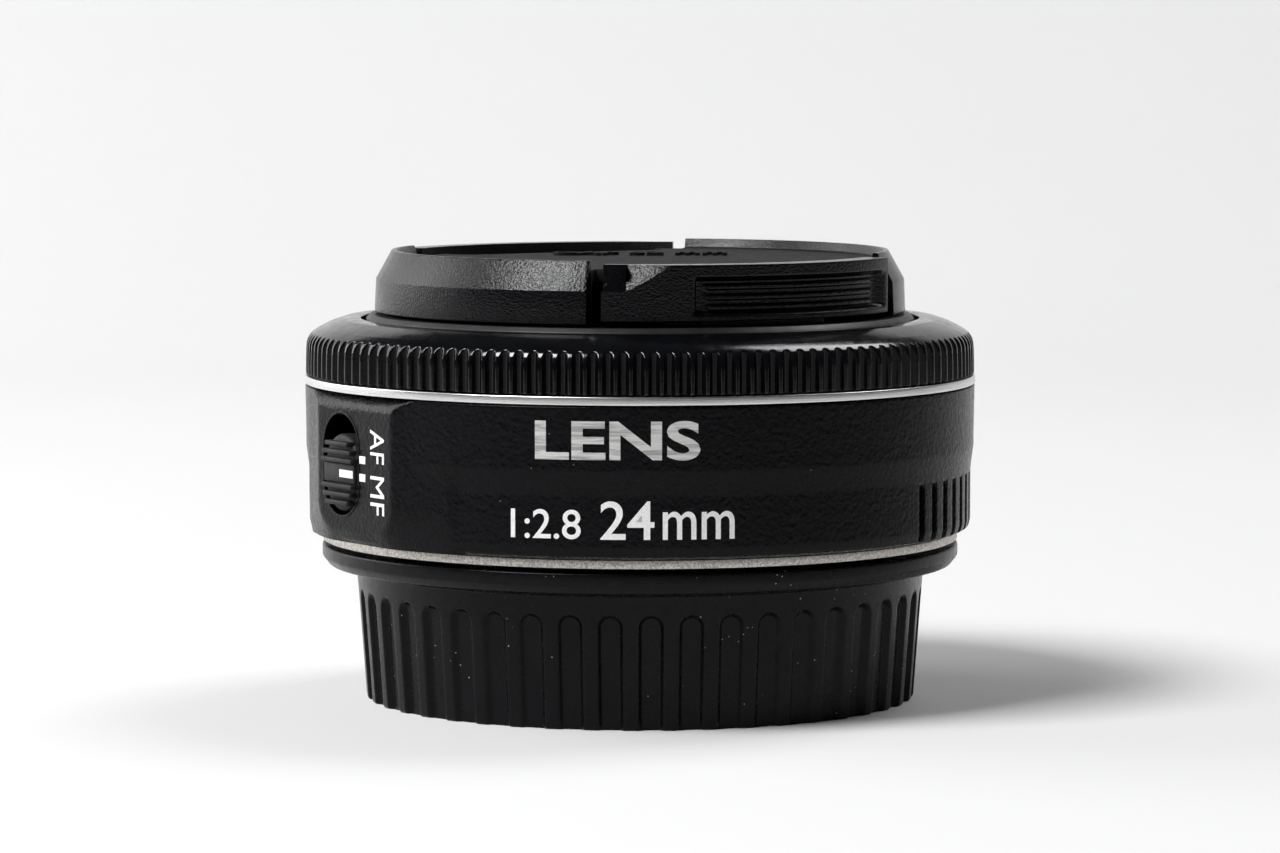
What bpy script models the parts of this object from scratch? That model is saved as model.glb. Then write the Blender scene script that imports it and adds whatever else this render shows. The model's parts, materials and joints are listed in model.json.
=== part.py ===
"""An autofocus pancake prime lens, standing on its rear cap with its pinch cap fitted to the front.

Every size below is in millimetres and becomes metres when a mesh is made. The optical axis is +Z, with
z = 0 under the rear cap. An azimuth is counted in degrees from -Y (the lettered side) towards +X.
"""

import math

import bpy

MM = 0.001

# How finely round pieces are divided
SHELL_SIDES = 48
TUBE_SIDES = 36
CELL_SIDES = 24
GLASS_SIDES = 20
PIN_SIDES = 10
TINY_PIN_SIDES = 8

# Rear cap
CAP_FLANGE_R = 32.47
CAP_TOP_Z = 15.8
CAP_GRIP_COUNT = 45
CAP_GRIP_PHASE = 2.2
CAP_GRIP_WIDTH = 2.2
CAP_GRIP_TOP_Z = 11.2
CAP_GRIP_FLOOR_R = 27.42
CAP_TAPER = 0.07
CAP_LUG_AZIMUTHS = (0.0, 120.0, 240.0)
CAP_LUG_SPAN = 38.0

# Bayonet mount
MOUNT_FACE_Z = 16.25
MOUNT_R = 32.36
BAYONET_R = 25.4
BAYONET_TAB_R = 26.9
BAYONET_END_Z = 11.2
BAYONET_TAB_SPAN = 54.0
SCREW_CIRCLE_R = 29.2
SCREW_AZIMUTHS = (35.0, 145.0, 215.0, 325.0)
INDEX_AZIMUTH = -60.0
INDEX_R = 30.6
INDEX_SIDE = 1.6

# Outer barrel and trim ring
BARREL_LOW_R = 33.68
BARREL_HIGH_R = 34.06
TRIM_R = 34.12
BARREL_TOP_Z = 31.98
BARREL_WALL_R = 32.1
SLEEVE_R = 31.4
SLEEVE_BORE_R = 30.4
SLEEVE_TOP_Z = 36.9
GRIP_AZIMUTH = 90.0
GRIP_PITCH = 4.3
GRIP_HALF_COUNT = 8
GRIP_WIDTH = 1.0
GRIP_FLOOR_R = 33.2
GRIP_TOP_Z = 23.3

# Focus mode switch
PAD_AZIMUTH = -56.5
PAD_FACE = 33.8
PAD_HALF_WIDTH = 6.85
PAD_FLANK = 4.4
PAD_LOW_Z = 18.6
PAD_CORNER = 2.5
SLOT_CENTRE = (-2.48, 25.0)
SLOT_SIZE = (6.7, 10.1)
KNOB_CENTRE = (-2.48, 24.18)
KNOB_SIZE = (6.2, 7.75)
KNOB_FACE = 34.2
KNOB_RIB_PITCH = 0.82

# Focus ring
RING_TEETH = 144
RING_PHASE = -0.2
RING_BORE_R = 31.6
RING_ROOT_R = 33.3
RING_CUT_R = 34.2
RING_GAP = 0.72
RING_LOW_Z = 33.1
RING_FACE_Z = 38.7
RING_MOUTH_R = 28.4

# Focus drive: the cam barrel lifts the front barrel
FOCUS_TRAVEL = 6.5
CAM_TURN = 110.0
GUIDE_BORE_R = 15.9
GUIDE_R = 16.7
CAM_BORE_R = 17.0
CAM_R = 17.9
CAM_LOW_Z = 22.5
CAM_HIGH_Z = 33.3
ROLLER_AZIMUTHS = (20.0, 140.0, 260.0)
ROLLER_R = 0.8
ROLLER_Z = 25.1
ROLLER_ROOM = 0.95
CAM_MODULE = 0.4
CAM_TEETH = 94
SMALL_GEAR_TEETH = 10
PINION_MODULE = 0.3
LARGE_GEAR_TEETH = 22
PINION_TEETH = 10
GEAR_AZIMUTH = 150.0
MOTOR_CIRCLE_R = 23.0
MOTOR_R = 3.1

# Front barrel and optics
FRONT_R = 27.9
FRONT_TOP_Z = 39.1
THREAD_R = 25.85
CELL_R = 15.6
CELL_BORE_R = 14.8

# Iris
BLADE_COUNT = 7
BLADE_TURN = 25.0
IRIS_TURN = 30.0
IRIS_OPEN_R = 4.3
BLADE_OUTER_R = 6.9
BLADE_ARC = 112.0
BLADE_PIVOT_R = 8.6
BLADE_ARM = 2.0
BLADE_THICKNESS = 0.1
BLADE_PITCH_Z = 0.2
BLADE_LOW_Z = 26.5
IRIS_PIN_R = 0.3
IRIS_PIN_ROOM = 0.44
IRIS_RING_Z = (27.95, 28.45)
IRIS_MODULE = 0.25
IRIS_RING_TEETH = 88
IRIS_PINION_TEETH = 8
IRIS_MOTOR_AZIMUTH = 60.0

# Front cap
LEVER_AZIMUTH = 29.5
LEVER_HALF_WIDTH = 16.4
LEVER_WINDOW = 17.5
LEVER_R = 26.85
LEVER_LOW_Z = 39.7
LEVER_TOP_Z = 45.2
SCOOP_TURN = 3.2
CAP_LOW_Z = 39.4
CAP_CHAMFER_Z = 42.65
LEVER_BORE_R = 24.4
FRONT_CAP_TOP_Z = 45.55
CAP_PLATE_Z = (43.4, 44.6)
SPRING_SPAN = (3.2, 9.2)
SPRING_R = 1.15
SPRING_WIRE_R = 0.2
SPRING_Z = 41.8
SPRING_TURNS = 4

# Colour, roughness and metallic value of each finish
FINISHES = {
    "cap_plastic": ((0.020, 0.020, 0.022), 0.55, 0.0),
    "bright_mount": ((0.62, 0.60, 0.56), 0.38, 1.0),
    "screw_steel": ((0.50, 0.50, 0.50), 0.30, 1.0),
    "white_mark": ((0.85, 0.85, 0.83), 0.50, 0.0),
    "baffle_black": ((0.012, 0.012, 0.012), 0.80, 0.0),
    "contact_gold": ((0.85, 0.62, 0.25), 0.25, 1.0),
    "flex_amber": ((0.45, 0.24, 0.06), 0.45, 0.0),
    "barrel_black": ((0.022, 0.022, 0.024), 0.50, 0.0),
    "trim_silver": ((0.72, 0.72, 0.70), 0.28, 1.0),
    "ring_black": ((0.016, 0.016, 0.018), 0.48, 0.0),
    "inner_black": ((0.025, 0.025, 0.025), 0.60, 0.0),
    "gear_plastic": ((0.80, 0.78, 0.70), 0.45, 0.0),
    "brass": ((0.72, 0.52, 0.22), 0.30, 1.0),
    "motor_steel": ((0.55, 0.55, 0.56), 0.32, 1.0),
    "board_green": ((0.02, 0.16, 0.06), 0.50, 0.0),
    "front_black": ((0.030, 0.030, 0.033), 0.40, 0.0),
    "coated_glass": ((0.75, 0.80, 0.85), 0.03, 0.0),
    "blade_black": ((0.03, 0.03, 0.032), 0.35, 0.6),
    "washer_steel": ((0.45, 0.45, 0.45), 0.35, 1.0),
    "spring_steel": ((0.60, 0.60, 0.58), 0.25, 1.0),
}


# ---- Making meshes ----


def polar(radius, azimuth, z=0.0):
    """The point at this radius and azimuth."""
    angle = math.radians(azimuth)
    return (radius * math.sin(angle), -radius * math.cos(angle), z)


def tangent_point(azimuth, across, outward, z):
    """A point of the plane that faces this azimuth: across it, outward along it, and up."""
    angle = math.radians(azimuth)
    x = outward * math.sin(angle) + across * math.cos(angle)
    y = -outward * math.cos(angle) + across * math.sin(angle)
    return (x, y, z)


def finish(name):
    """The material of one finish, made the first time that it is asked for."""
    material = bpy.data.materials.get(name)
    if material is None:
        colour, roughness, metallic = FINISHES[name]
        material = bpy.data.materials.new(name)
        material.use_nodes = True
        shader = material.node_tree.nodes["Principled BSDF"]
        shader.inputs["Base Color"].default_value = (*colour, 1.0)
        shader.inputs["Roughness"].default_value = roughness
        shader.inputs["Metallic"].default_value = metallic
    return material


def enclosed_volume(mesh):
    """Six times the volume inside a closed mesh, negative when its faces point inwards."""
    mesh.calc_loop_triangles()
    corners = [vertex.co for vertex in mesh.vertices]
    triangles = ([corners[i] for i in triangle.vertices] for triangle in mesh.loop_triangles)
    return sum(a.dot(b.cross(c)) for a, b, c in triangles)


def solid(name, points, faces, material=None, origin=(0.0, 0.0, 0.0)):
    """An object from points in millimetres, with its own origin at the place given."""
    mesh = bpy.data.meshes.new(name)
    placed = [[(p - o) * MM for p, o in zip(point, origin)] for point in points]
    mesh.from_pydata(placed, [], faces)
    mesh.update()
    if enclosed_volume(mesh) < 0:
        mesh.flip_normals()
    obj = bpy.data.objects.new(name, mesh)
    obj.location = [o * MM for o in origin]
    bpy.context.scene.collection.objects.link(obj)
    if material:
        mesh.materials.append(finish(material))
    return obj


def shade(obj, angle=30.0):
    obj.data.shade_smooth()
    obj.data.set_sharp_from_angle(angle=math.radians(angle))
    return obj


def area_of(outline):
    """Twice the signed area of a flat outline, positive when it runs anticlockwise."""
    following = outline[1:] + outline[:1]
    return sum(a[0] * b[1] - b[0] * a[1] for a, b in zip(outline, following))


def lathe(name, outline, sides, material=None, centre=(0.0, 0.0), phase=0.0):
    """A closed (r, z) outline turned about the vertical axis through centre. Points at r = 0 close it."""
    if area_of(outline) < 0:
        outline = outline[::-1]
    points = []
    rows = []
    for radius, z in outline:
        count = 1 if radius == 0 else sides
        rows.append(list(range(len(points), len(points) + count)))
        for k in range(count):
            x, y, _ = polar(radius, phase + 360 * k / sides)
            points.append((x + centre[0], y + centre[1], z))
    faces = []
    for lower, upper in zip(rows, rows[1:] + rows[:1]):
        for k in range(sides):
            following = (k + 1) % sides
            if len(lower) > 1 and len(upper) > 1:
                faces.append((lower[k], lower[following], upper[following], upper[k]))
            elif len(lower) > 1:
                faces.append((lower[k], lower[following], upper[0]))
            elif len(upper) > 1:
                faces.append((lower[0], upper[following], upper[k]))
    return solid(name, points, faces, material, (*centre, 0.0))


def loft(name, lower, upper, material=None, origin=(0.0, 0.0, 0.0)):
    """A closed body between two outlines of equally many points, the lower running anticlockwise."""
    count = len(lower)
    faces = [tuple(reversed(range(count))), tuple(range(count, 2 * count))]
    for k in range(count):
        following = (k + 1) % count
        faces.append((k, following, count + following, count + k))
    return solid(name, list(lower) + list(upper), faces, material, origin)


def prism(name, outline, low_z, high_z, material=None, origin=(0.0, 0.0, 0.0)):
    """A flat (x, y) outline raised from low_z to high_z."""
    if area_of(outline) < 0:
        outline = outline[::-1]
    lower = [(x, y, low_z) for x, y in outline]
    upper = [(x, y, high_z) for x, y in outline]
    return loft(name, lower, upper, material, origin)


def plate(name, outline, azimuth, inner, outer, material=None, lean=0.0, origin=(0.0, 0.0, 0.0)):
    """An (across, z) outline on the plane facing an azimuth, from inner to outer distance from the axis."""
    if area_of(outline) < 0:
        outline = outline[::-1]
    inside = [tangent_point(azimuth, a, inner + lean * z, z) for a, z in outline]
    outside = [tangent_point(azimuth, a, outer, z) for a, z in outline]
    return loft(name, inside, outside, material, origin)


def arc(radius, start, end, steps):
    """Points of an arc, both ends included, as (x, y)."""
    span = end - start
    return [polar(radius, start + span * k / steps)[:2] for k in range(steps + 1)]


def sector(name, inner, outer, middle, span, low_z, high_z, steps=8, material=None):
    """An annular sector that spans this many degrees about its middle azimuth."""
    start, end = middle - span / 2, middle + span / 2
    outline = arc(outer, start, end, steps) + arc(inner, end, start, steps)
    return prism(name, outline, low_z, high_z, material)


def sided_sector(name, inner, outer, middle, half_width, low_z, high_z, steps=14, material=None):
    """A ring segment whose two ends run parallel to its middle direction."""
    outline = []
    for radius, direction in ((outer, 1), (inner, -1)):
        reach = math.degrees(math.asin(half_width / radius))
        outline += arc(radius, middle - direction * reach, middle + direction * reach, steps)
    return prism(name, outline, low_z, high_z, material)


def pill(centre, size, steps=6):
    """An upright outline with half-round ends."""
    radius = size[0] / 2
    straight = size[1] / 2 - radius
    outline = []
    for middle, start in ((centre[1] + straight, 0.0), (centre[1] - straight, 180.0)):
        for k in range(steps + 1):
            angle = math.radians(start + 180.0 * k / steps)
            outline.append((centre[0] + radius * math.cos(angle), middle + radius * math.sin(angle)))
    return outline


def box_outline(low, high):
    return [(low[0], low[1]), (high[0], low[1]), (high[0], high[1]), (low[0], high[1])]


def cylinder(name, radius, sides, centre, low_z, high_z, material=None):
    outline = [(0, low_z), (radius, low_z), (radius, high_z), (0, high_z)]
    return lathe(name, outline, sides, material, centre)


def combine(target, operation, others):
    """Applies one Boolean for each of the other bodies, and removes them."""
    for other in others:
        modifier = target.modifiers.new("combine", "BOOLEAN")
        modifier.operation = operation
        modifier.object = other
        graph = bpy.context.evaluated_depsgraph_get()
        mesh = bpy.data.meshes.new_from_object(target.evaluated_get(graph))
        target.modifiers.clear()
        target.data = mesh
        bpy.data.objects.remove(other)
    return target


def cut(target, *others):
    return combine(target, "DIFFERENCE", others)


def add(target, *others):
    return combine(target, "UNION", others)


def gear_outline(module, teeth, centre, phase, first=0, last=None, root=None):
    """Trapezoid teeth round a circle, or from the first to the last of them, as an (x, y) outline."""
    pitch_r = module * teeth / 2
    root_r = root or pitch_r - 1.15 * module
    tip_r = pitch_r + 0.8 * module
    step = 360.0 / teeth
    outline = []
    for k in range(first, teeth if last is None else last + 1):
        middle = phase + k * step
        for radius, share in ((root_r, -0.31), (tip_r, -0.11), (tip_r, 0.11), (root_r, 0.31)):
            x, y, _ = polar(radius, middle + share * step)
            outline.append((x + centre[0], y + centre[1]))
    return outline


# ---- Rear cap ----


def make_rear_cap():
    cup = lathe(
        "rear_cap",
        [
            (0, 0),
            (27.5, 0),
            (28.0, 0.5),
            (28.84, 12.2),
            (28.84, 13.4),
            (31.9, 13.9),
            (CAP_FLANGE_R, 14.7),
            (CAP_FLANGE_R, CAP_TOP_Z),
            (27.25, CAP_TOP_Z),
            (27.25, 9.6),
            (25.8, 9.2),
            (25.8, 2.2),
            (0, 2.2),
        ],
        CAP_GRIP_COUNT,
        "cap_plastic",
        phase=CAP_GRIP_PHASE + 180.0 / CAP_GRIP_COUNT,
    )
    groove = pill((0.0, CAP_GRIP_TOP_Z / 2 - 1.0), (CAP_GRIP_WIDTH, CAP_GRIP_TOP_Z + 2.0), 3)
    step = 360.0 / CAP_GRIP_COUNT
    cutters = [
        plate("groove", groove, CAP_GRIP_PHASE + k * step, CAP_GRIP_FLOOR_R, 30.0, lean=CAP_TAPER)
        for k in range(CAP_GRIP_COUNT)
    ]
    cut(cup, join_loose(cutters))
    lugs = [
        sector("lug", 25.75, 27.6, azimuth, CAP_LUG_SPAN, 12.95, 14.4, 4)
        for azimuth in CAP_LUG_AZIMUTHS
    ]
    return shade(add(cup, *lugs))


def join_loose(objects):
    """One cutter from several that don't touch."""
    points = []
    faces = []
    for obj in objects:
        start = len(points)
        offset = obj.location
        points += [[(c + o) / MM for c, o in zip(v.co, offset)] for v in obj.data.vertices]
        faces += [tuple(start + i for i in face.vertices) for face in obj.data.polygons]
        bpy.data.objects.remove(obj)
    return solid("cutters", points, faces)


# ---- Bayonet mount and what sits inside it ----


def make_mount_ring():
    ring = lathe(
        "mount_ring",
        [
            (23.6, BAYONET_END_Z),
            (BAYONET_R, BAYONET_END_Z),
            (BAYONET_R, MOUNT_FACE_Z),
            (MOUNT_R, MOUNT_FACE_Z),
            (MOUNT_R, 17.1),
            (31.6, 17.1),
            (31.6, 18.2),
            (23.6, 18.2),
        ],
        SHELL_SIDES,
        "bright_mount",
    )
    tabs = [
        sector("tab", 25.0, BAYONET_TAB_R, azimuth + 60.0, BAYONET_TAB_SPAN, BAYONET_END_Z, 12.6, 6)
        for azimuth in CAP_LUG_AZIMUTHS
    ]
    add(ring, *tabs)
    holes = []
    for azimuth in SCREW_AZIMUTHS:
        centre = polar(SCREW_CIRCLE_R, azimuth)[:2]
        outline = [(0, 16.0), (1.75, 16.0), (1.75, 17.3), (0.95, 17.3), (0.95, 18.5), (0, 18.5)]
        holes.append(lathe("hole", outline, PIN_SIDES, None, centre))
    side = INDEX_SIDE / 2 + 0.15
    pocket = box_outline((-side, INDEX_R - side), (side, INDEX_R + side))
    holes.append(prism("pocket", on_azimuth(pocket, INDEX_AZIMUTH), 16.0, 16.85))
    return shade(cut(ring, join_loose(holes)))


def on_azimuth(outline, azimuth):
    """An (across, outward) outline turned to face an azimuth, as (x, y)."""
    return [tangent_point(azimuth, a, d, 0.0)[:2] for a, d in outline]


def make_mount_screws():
    for number, azimuth in enumerate(SCREW_AZIMUTHS, 1):
        centre = polar(SCREW_CIRCLE_R, azimuth)[:2]
        outline = [(0, 16.4), (1.2, 16.4), (1.5, 16.6), (1.5, 17.15), (0.7, 17.15), (0.7, 19.8), (0, 19.8)]
        screw = lathe(f"mount_screw_{number}", outline, PIN_SIDES, "screw_steel", centre)
        slot = on_azimuth([(-1.7, -0.2), (1.7, -0.2), (1.7, 0.2), (-1.7, 0.2)], azimuth)
        slot = [(x + centre[0], y + centre[1]) for x, y in slot]
        shade(cut(screw, prism("driver_slot", slot, 16.2, 16.7)))


def make_index_mark():
    half = INDEX_SIDE / 2
    outline = box_outline((-half, INDEX_R - half), (half, INDEX_R + half))
    return prism("mount_index_mark", on_azimuth(outline, INDEX_AZIMUTH), 16.3, 16.7, "white_mark")


def make_rear_baffle():
    baffle = lathe(
        "rear_baffle",
        [(16.3, 13.0), (23.3, 13.0), (23.3, 18.4), (22.3, 18.4), (22.3, 14.0), (16.3, 14.0)],
        TUBE_SIDES,
        "baffle_black",
    )
    window = on_azimuth(box_outline((-4.0, 20.2), (4.0, 21.6)), 180.0)
    return shade(cut(baffle, prism("window", window, 12.0, 15.0)))


def make_contacts():
    sector("contact_block", 18.6, 22.4, 180.0, 76.0, 11.0, 12.85, 12, "inner_black")
    outline = arc(20.2, 146.0, 214.0, 15)
    for k in range(8):
        middle = 210.5 - 8.7 * k
        finger = ((20.5, 2.6), (21.9, 2.6), (21.9, -2.6), (20.5, -2.6))
        outline += [polar(radius, middle + side)[:2] for radius, side in finger]
    prism("contact_strip", outline, 10.6, 10.85, "contact_gold")
    ribbon = [(20.6, 13.0), (21.3, 13.0), (21.3, 17.05), (20.2, 17.05), (20.2, 16.85), (21.1, 16.85)]
    ribbon += [(21.1, 13.2), (20.6, 13.2)]
    lower = [tangent_point(180.0, -3.0, r, z) for r, z in ribbon]
    upper = [tangent_point(180.0, 3.0, r, z) for r, z in ribbon]
    loft("contact_flex", upper, lower, "flex_amber")


def make_main_board():
    board = sector("main_board", 17.2, 21.9, 180.0, 220.0, 17.2, 18.0, 16, "board_green")
    chips = [
        prism("chip", on_azimuth(box_outline((-2.4, 17.9), (2.4, 21.2)), azimuth), 17.7, 18.7)
        for azimuth in (110.0, 160.0, 235.0)
    ]
    return add(board, *chips)


# ---- Outer barrel, trim, focus ring and mode switch ----


def make_outer_barrel():
    barrel = lathe(
        "outer_barrel",
        [
            (31.9, 17.25),
            (32.9, 17.25),
            (33.45, 17.5),
            (33.67, 18.3),
            (BARREL_LOW_R, 23.6),
            (33.98, 25.7),
            (BARREL_HIGH_R, BARREL_TOP_Z),
            (SLEEVE_R, BARREL_TOP_Z),
            (SLEEVE_R, SLEEVE_TOP_Z),
            (SLEEVE_BORE_R, SLEEVE_TOP_Z),
            (SLEEVE_BORE_R, 31.4),
            (BARREL_WALL_R, 30.0),
            (BARREL_WALL_R, 19.9),
            (27.6, 19.9),
            (27.6, 18.5),
            (31.9, 18.5),
        ],
        SHELL_SIDES,
        "barrel_black",
    )
    make_pad(barrel)
    grips = []
    for k in range(-GRIP_HALF_COUNT, GRIP_HALF_COUNT + 1):
        outline = box_outline((-GRIP_WIDTH / 2, 16.5), (GRIP_WIDTH / 2, GRIP_TOP_Z))
        grips.append(plate("grip", outline, GRIP_AZIMUTH + k * GRIP_PITCH, GRIP_FLOOR_R, 35.0))
    holes = [
        cylinder("hole", 0.95, PIN_SIDES, polar(SCREW_CIRCLE_R, azimuth)[:2], 18.0, 21.0)
        for azimuth in SCREW_AZIMUTHS
    ]
    return shade(cut(barrel, join_loose(grips), join_loose(holes)))


def make_pad(barrel):
    """The raised flat that carries the mode switch, blended into the barrel by sloping flanks."""
    half, wide = PAD_HALF_WIDTH, PAD_HALF_WIDTH + PAD_FLANK
    foot = 32.05
    top_z = BARREL_TOP_Z - 0.02
    face = [
        (-wide, 31.0),
        (-wide, foot),
        (-half, PAD_FACE),
        (half, PAD_FACE),
        (wide, foot),
        (wide, 31.0),
        (5.5, 32.4),
        (-5.5, 32.4),
    ]
    pad = prism("pad", on_azimuth(face, PAD_AZIMUTH), PAD_LOW_Z, top_z)
    corner = []
    for side, start in ((-1, 180.0), (1, 270.0)):
        for k in range(5):
            angle = math.radians(start + 22.5 * k)
            across = side * (wide - PAD_CORNER) + PAD_CORNER * math.cos(angle)
            corner.append((across, PAD_LOW_Z + 0.05 + PAD_CORNER * (1 + math.sin(angle))))
    shape = corner + [(wide, top_z + 1.0), (-wide, top_z + 1.0)]
    combine(pad, "INTERSECT", [plate("pad_shape", shape, PAD_AZIMUTH, 29.0, 36.0)])
    slab = box_outline((-half, PAD_LOW_Z + 0.3), (half, top_z))
    cut(barrel, plate("slab", slab, PAD_AZIMUTH, PAD_FACE, 36.0))
    add(barrel, pad)
    slot = pill(SLOT_CENTRE, SLOT_SIZE)
    return cut(barrel, plate("slot", slot, PAD_AZIMUTH, 29.0, 36.0))


def make_trim_ring():
    outline = [(31.7, 32.13), (TRIM_R, 32.13), (TRIM_R, 32.96), (31.7, 32.96)]
    return shade(lathe("trim_ring", outline, SHELL_SIDES, "trim_silver"))


def make_focus_ring():
    ring = lathe(
        "focus_ring",
        [
            (RING_BORE_R, RING_LOW_Z),
            (34.05, RING_LOW_Z),
            (33.9, 36.3),
            (33.05, 37.5),
            (30.2, RING_FACE_Z),
            (RING_MOUTH_R, RING_FACE_Z),
            (RING_MOUTH_R, 37.7),
            (RING_BORE_R, 37.5),
        ],
        SHELL_SIDES,
        "ring_black",
    )
    notches = []
    for k in range(RING_TEETH):
        azimuth = RING_PHASE + k * 360.0 / RING_TEETH
        outline = [(0.0, RING_ROOT_R), (RING_GAP, RING_CUT_R), (-RING_GAP, RING_CUT_R)]
        notches.append(prism("notch", on_azimuth(outline, azimuth), RING_LOW_Z - 1.0, 37.8))
    return shade(cut(ring, join_loose(notches)), 40.0)


def make_focus_ring_fittings():
    washer = [(30.5, 37.0), (31.3, 37.0), (31.3, 37.25), (30.5, 37.25)]
    shade(lathe("focus_ring_washer", washer, TUBE_SIDES, "washer_steel"))
    block = on_azimuth(box_outline((-2.4, 28.5), (2.4, 30.0)), 120.0)
    sensor = prism("focus_sensor", block, 31.8, 36.6, "inner_black")
    gap = on_azimuth(box_outline((-3.0, 28.9), (3.0, 29.6)), 120.0)
    cut(sensor, prism("gap", gap, 33.6, 37.0))


def make_mode_switch():
    knob = plate("af_mf_switch", pill(KNOB_CENTRE, KNOB_SIZE), PAD_AZIMUTH, 31.2, KNOB_FACE, "inner_black")
    middle = KNOB_CENTRE[1]
    flange = box_outline((KNOB_CENTRE[0] - 3.9, middle - 3.0), (KNOB_CENTRE[0] + 3.9, middle + 3.0))
    add(knob, plate("flange", flange, PAD_AZIMUTH, 30.4, 31.3))
    ribs = []
    for side in (-1, 1):
        for k in range(3):
            z = middle + side * (1.2 + KNOB_RIB_PITCH * k)
            rib = box_outline((KNOB_CENTRE[0] - 2.6, z - 0.18), (KNOB_CENTRE[0] + 2.6, z + 0.18))
            ribs.append(plate("rib", rib, PAD_AZIMUTH, 34.0, KNOB_FACE + 0.3))
    add(knob, join_loose(ribs))
    board = box_outline((-7.0, 21.4), (2.0, 29.8))
    plate("switch_board", board, PAD_AZIMUTH, 28.6, 29.4, "board_green")
    return knob


# ---- Focus drive ----


def make_guide_barrel():
    guide = lathe(
        "guide_barrel",
        [
            (GUIDE_BORE_R, 20.2),
            (29.5, 20.2),
            (29.5, 21.0),
            (GUIDE_R, 21.0),
            (GUIDE_R, CAM_HIGH_Z),
            (GUIDE_BORE_R, CAM_HIGH_Z),
        ],
        TUBE_SIDES,
        "inner_black",
    )
    middle = ROLLER_Z + FOCUS_TRAVEL / 2
    slot = pill((0.0, middle), (2 * ROLLER_ROOM, FOCUS_TRAVEL + 2 * ROLLER_ROOM), 4)
    return shade(cut(guide, *[plate("slot", slot, azimuth, 14.0, 18.0) for azimuth in ROLLER_AZIMUTHS]))


def helix_cutter(azimuth):
    """The room that a roller sweeps through the cam barrel's wall as the barrel turns."""
    steps = 9
    rise = math.radians(CAM_TURN) * (CAM_BORE_R + CAM_R) / 2
    slope = math.atan2(FOCUS_TRAVEL, rise)
    margin = math.degrees(ROLLER_ROOM / CAM_R) / CAM_TURN
    rings = []
    for k in range(steps + 1):
        share = -margin + (1 + 2 * margin) * k / steps
        turn = azimuth - CAM_TURN * share
        z = ROLLER_Z + FOCUS_TRAVEL * share
        lean = math.degrees(ROLLER_ROOM * math.sin(slope) / CAM_R)
        high = ROLLER_ROOM * math.cos(slope)
        corners = ((15.5, 1), (19.5, 1), (19.5, -1), (15.5, -1))
        rings.append([polar(r, turn + up * lean, z + up * high) for r, up in corners])
    points = [point for ring in rings for point in ring]
    faces = [(0, 1, 2, 3), tuple(4 * steps + i for i in (3, 2, 1, 0))]
    for k in range(steps):
        for i in range(4):
            j = (i + 1) % 4
            faces.append((4 * k + i, 4 * k + 4 + i, 4 * k + 4 + j, 4 * k + j))
    return solid("cam_slot", points, faces)


def make_cam_barrel():
    cam = lathe(
        "cam_barrel",
        [(CAM_BORE_R, CAM_LOW_Z), (CAM_R, CAM_LOW_Z), (CAM_R, CAM_HIGH_Z), (CAM_BORE_R, CAM_HIGH_Z)],
        TUBE_SIDES,
        "gear_plastic",
    )
    step = 360.0 / CAM_TEETH
    last = math.ceil(CAM_TURN / step) + 2
    teeth = gear_outline(CAM_MODULE, CAM_TEETH, (0, 0), GEAR_AZIMUTH, -last, 2)
    start = GEAR_AZIMUTH - (last + 0.31) * step
    end = GEAR_AZIMUTH + 2.31 * step
    teeth += arc(17.45, end, start, 14)
    add(cam, prism("teeth", teeth, 22.7, 23.8))
    slots = [helix_cutter(azimuth) for azimuth in ROLLER_AZIMUTHS]
    return shade(cut(cam, *slots))


def gear_places():
    """Where the reduction gear's and the motor's axes stand, as (x, y) and azimuth."""
    gear_r = CAM_MODULE * (CAM_TEETH + SMALL_GEAR_TEETH) / 2
    apart = PINION_MODULE * (LARGE_GEAR_TEETH + PINION_TEETH) / 2
    cosine = (gear_r**2 + MOTOR_CIRCLE_R**2 - apart**2) / (2 * gear_r * MOTOR_CIRCLE_R)
    motor_azimuth = GEAR_AZIMUTH + math.degrees(math.acos(cosine))
    return polar(gear_r, GEAR_AZIMUTH)[:2], polar(MOTOR_CIRCLE_R, motor_azimuth)[:2]


def azimuth_between(start, end):
    return math.degrees(math.atan2(end[0] - start[0], start[1] - end[1]))


def make_gear_train():
    gear, motor = gear_places()
    towards_motor = azimuth_between(gear, motor)
    large = gear_outline(PINION_MODULE, LARGE_GEAR_TEETH, gear, towards_motor)
    wheel = prism("reduction_gear", large, 21.3, 22.15, "gear_plastic", (*gear, 0.0))
    # A gap of the small gear faces the cam barrel, whose tooth points straight at the gear's axis.
    phase = GEAR_AZIMUTH + 180.0 + 180.0 / SMALL_GEAR_TEETH
    small = gear_outline(CAM_MODULE, SMALL_GEAR_TEETH, gear, phase)
    add(wheel, prism("small_gear", small, 22.05, 23.9))
    cut(wheel, cylinder("bore", 0.6, TINY_PIN_SIDES, gear, 20.0, 25.0))
    pinion_phase = towards_motor + 180.0 + 180.0 / PINION_TEETH
    teeth = gear_outline(PINION_MODULE, PINION_TEETH, motor, pinion_phase)
    pinion = prism("motor_pinion", teeth, 21.3, 22.2, "brass", (*motor, 0.0))
    add(pinion, cylinder("shaft", 0.5, TINY_PIN_SIDES, motor, 22.1, 25.9))
    pin = [(0, 21.15), (0.4, 21.15), (0.4, 25.3), (0, 25.3)]
    lathe("gear_axle", pin, TINY_PIN_SIDES, "screw_steel", gear)
    return gear, motor


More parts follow.
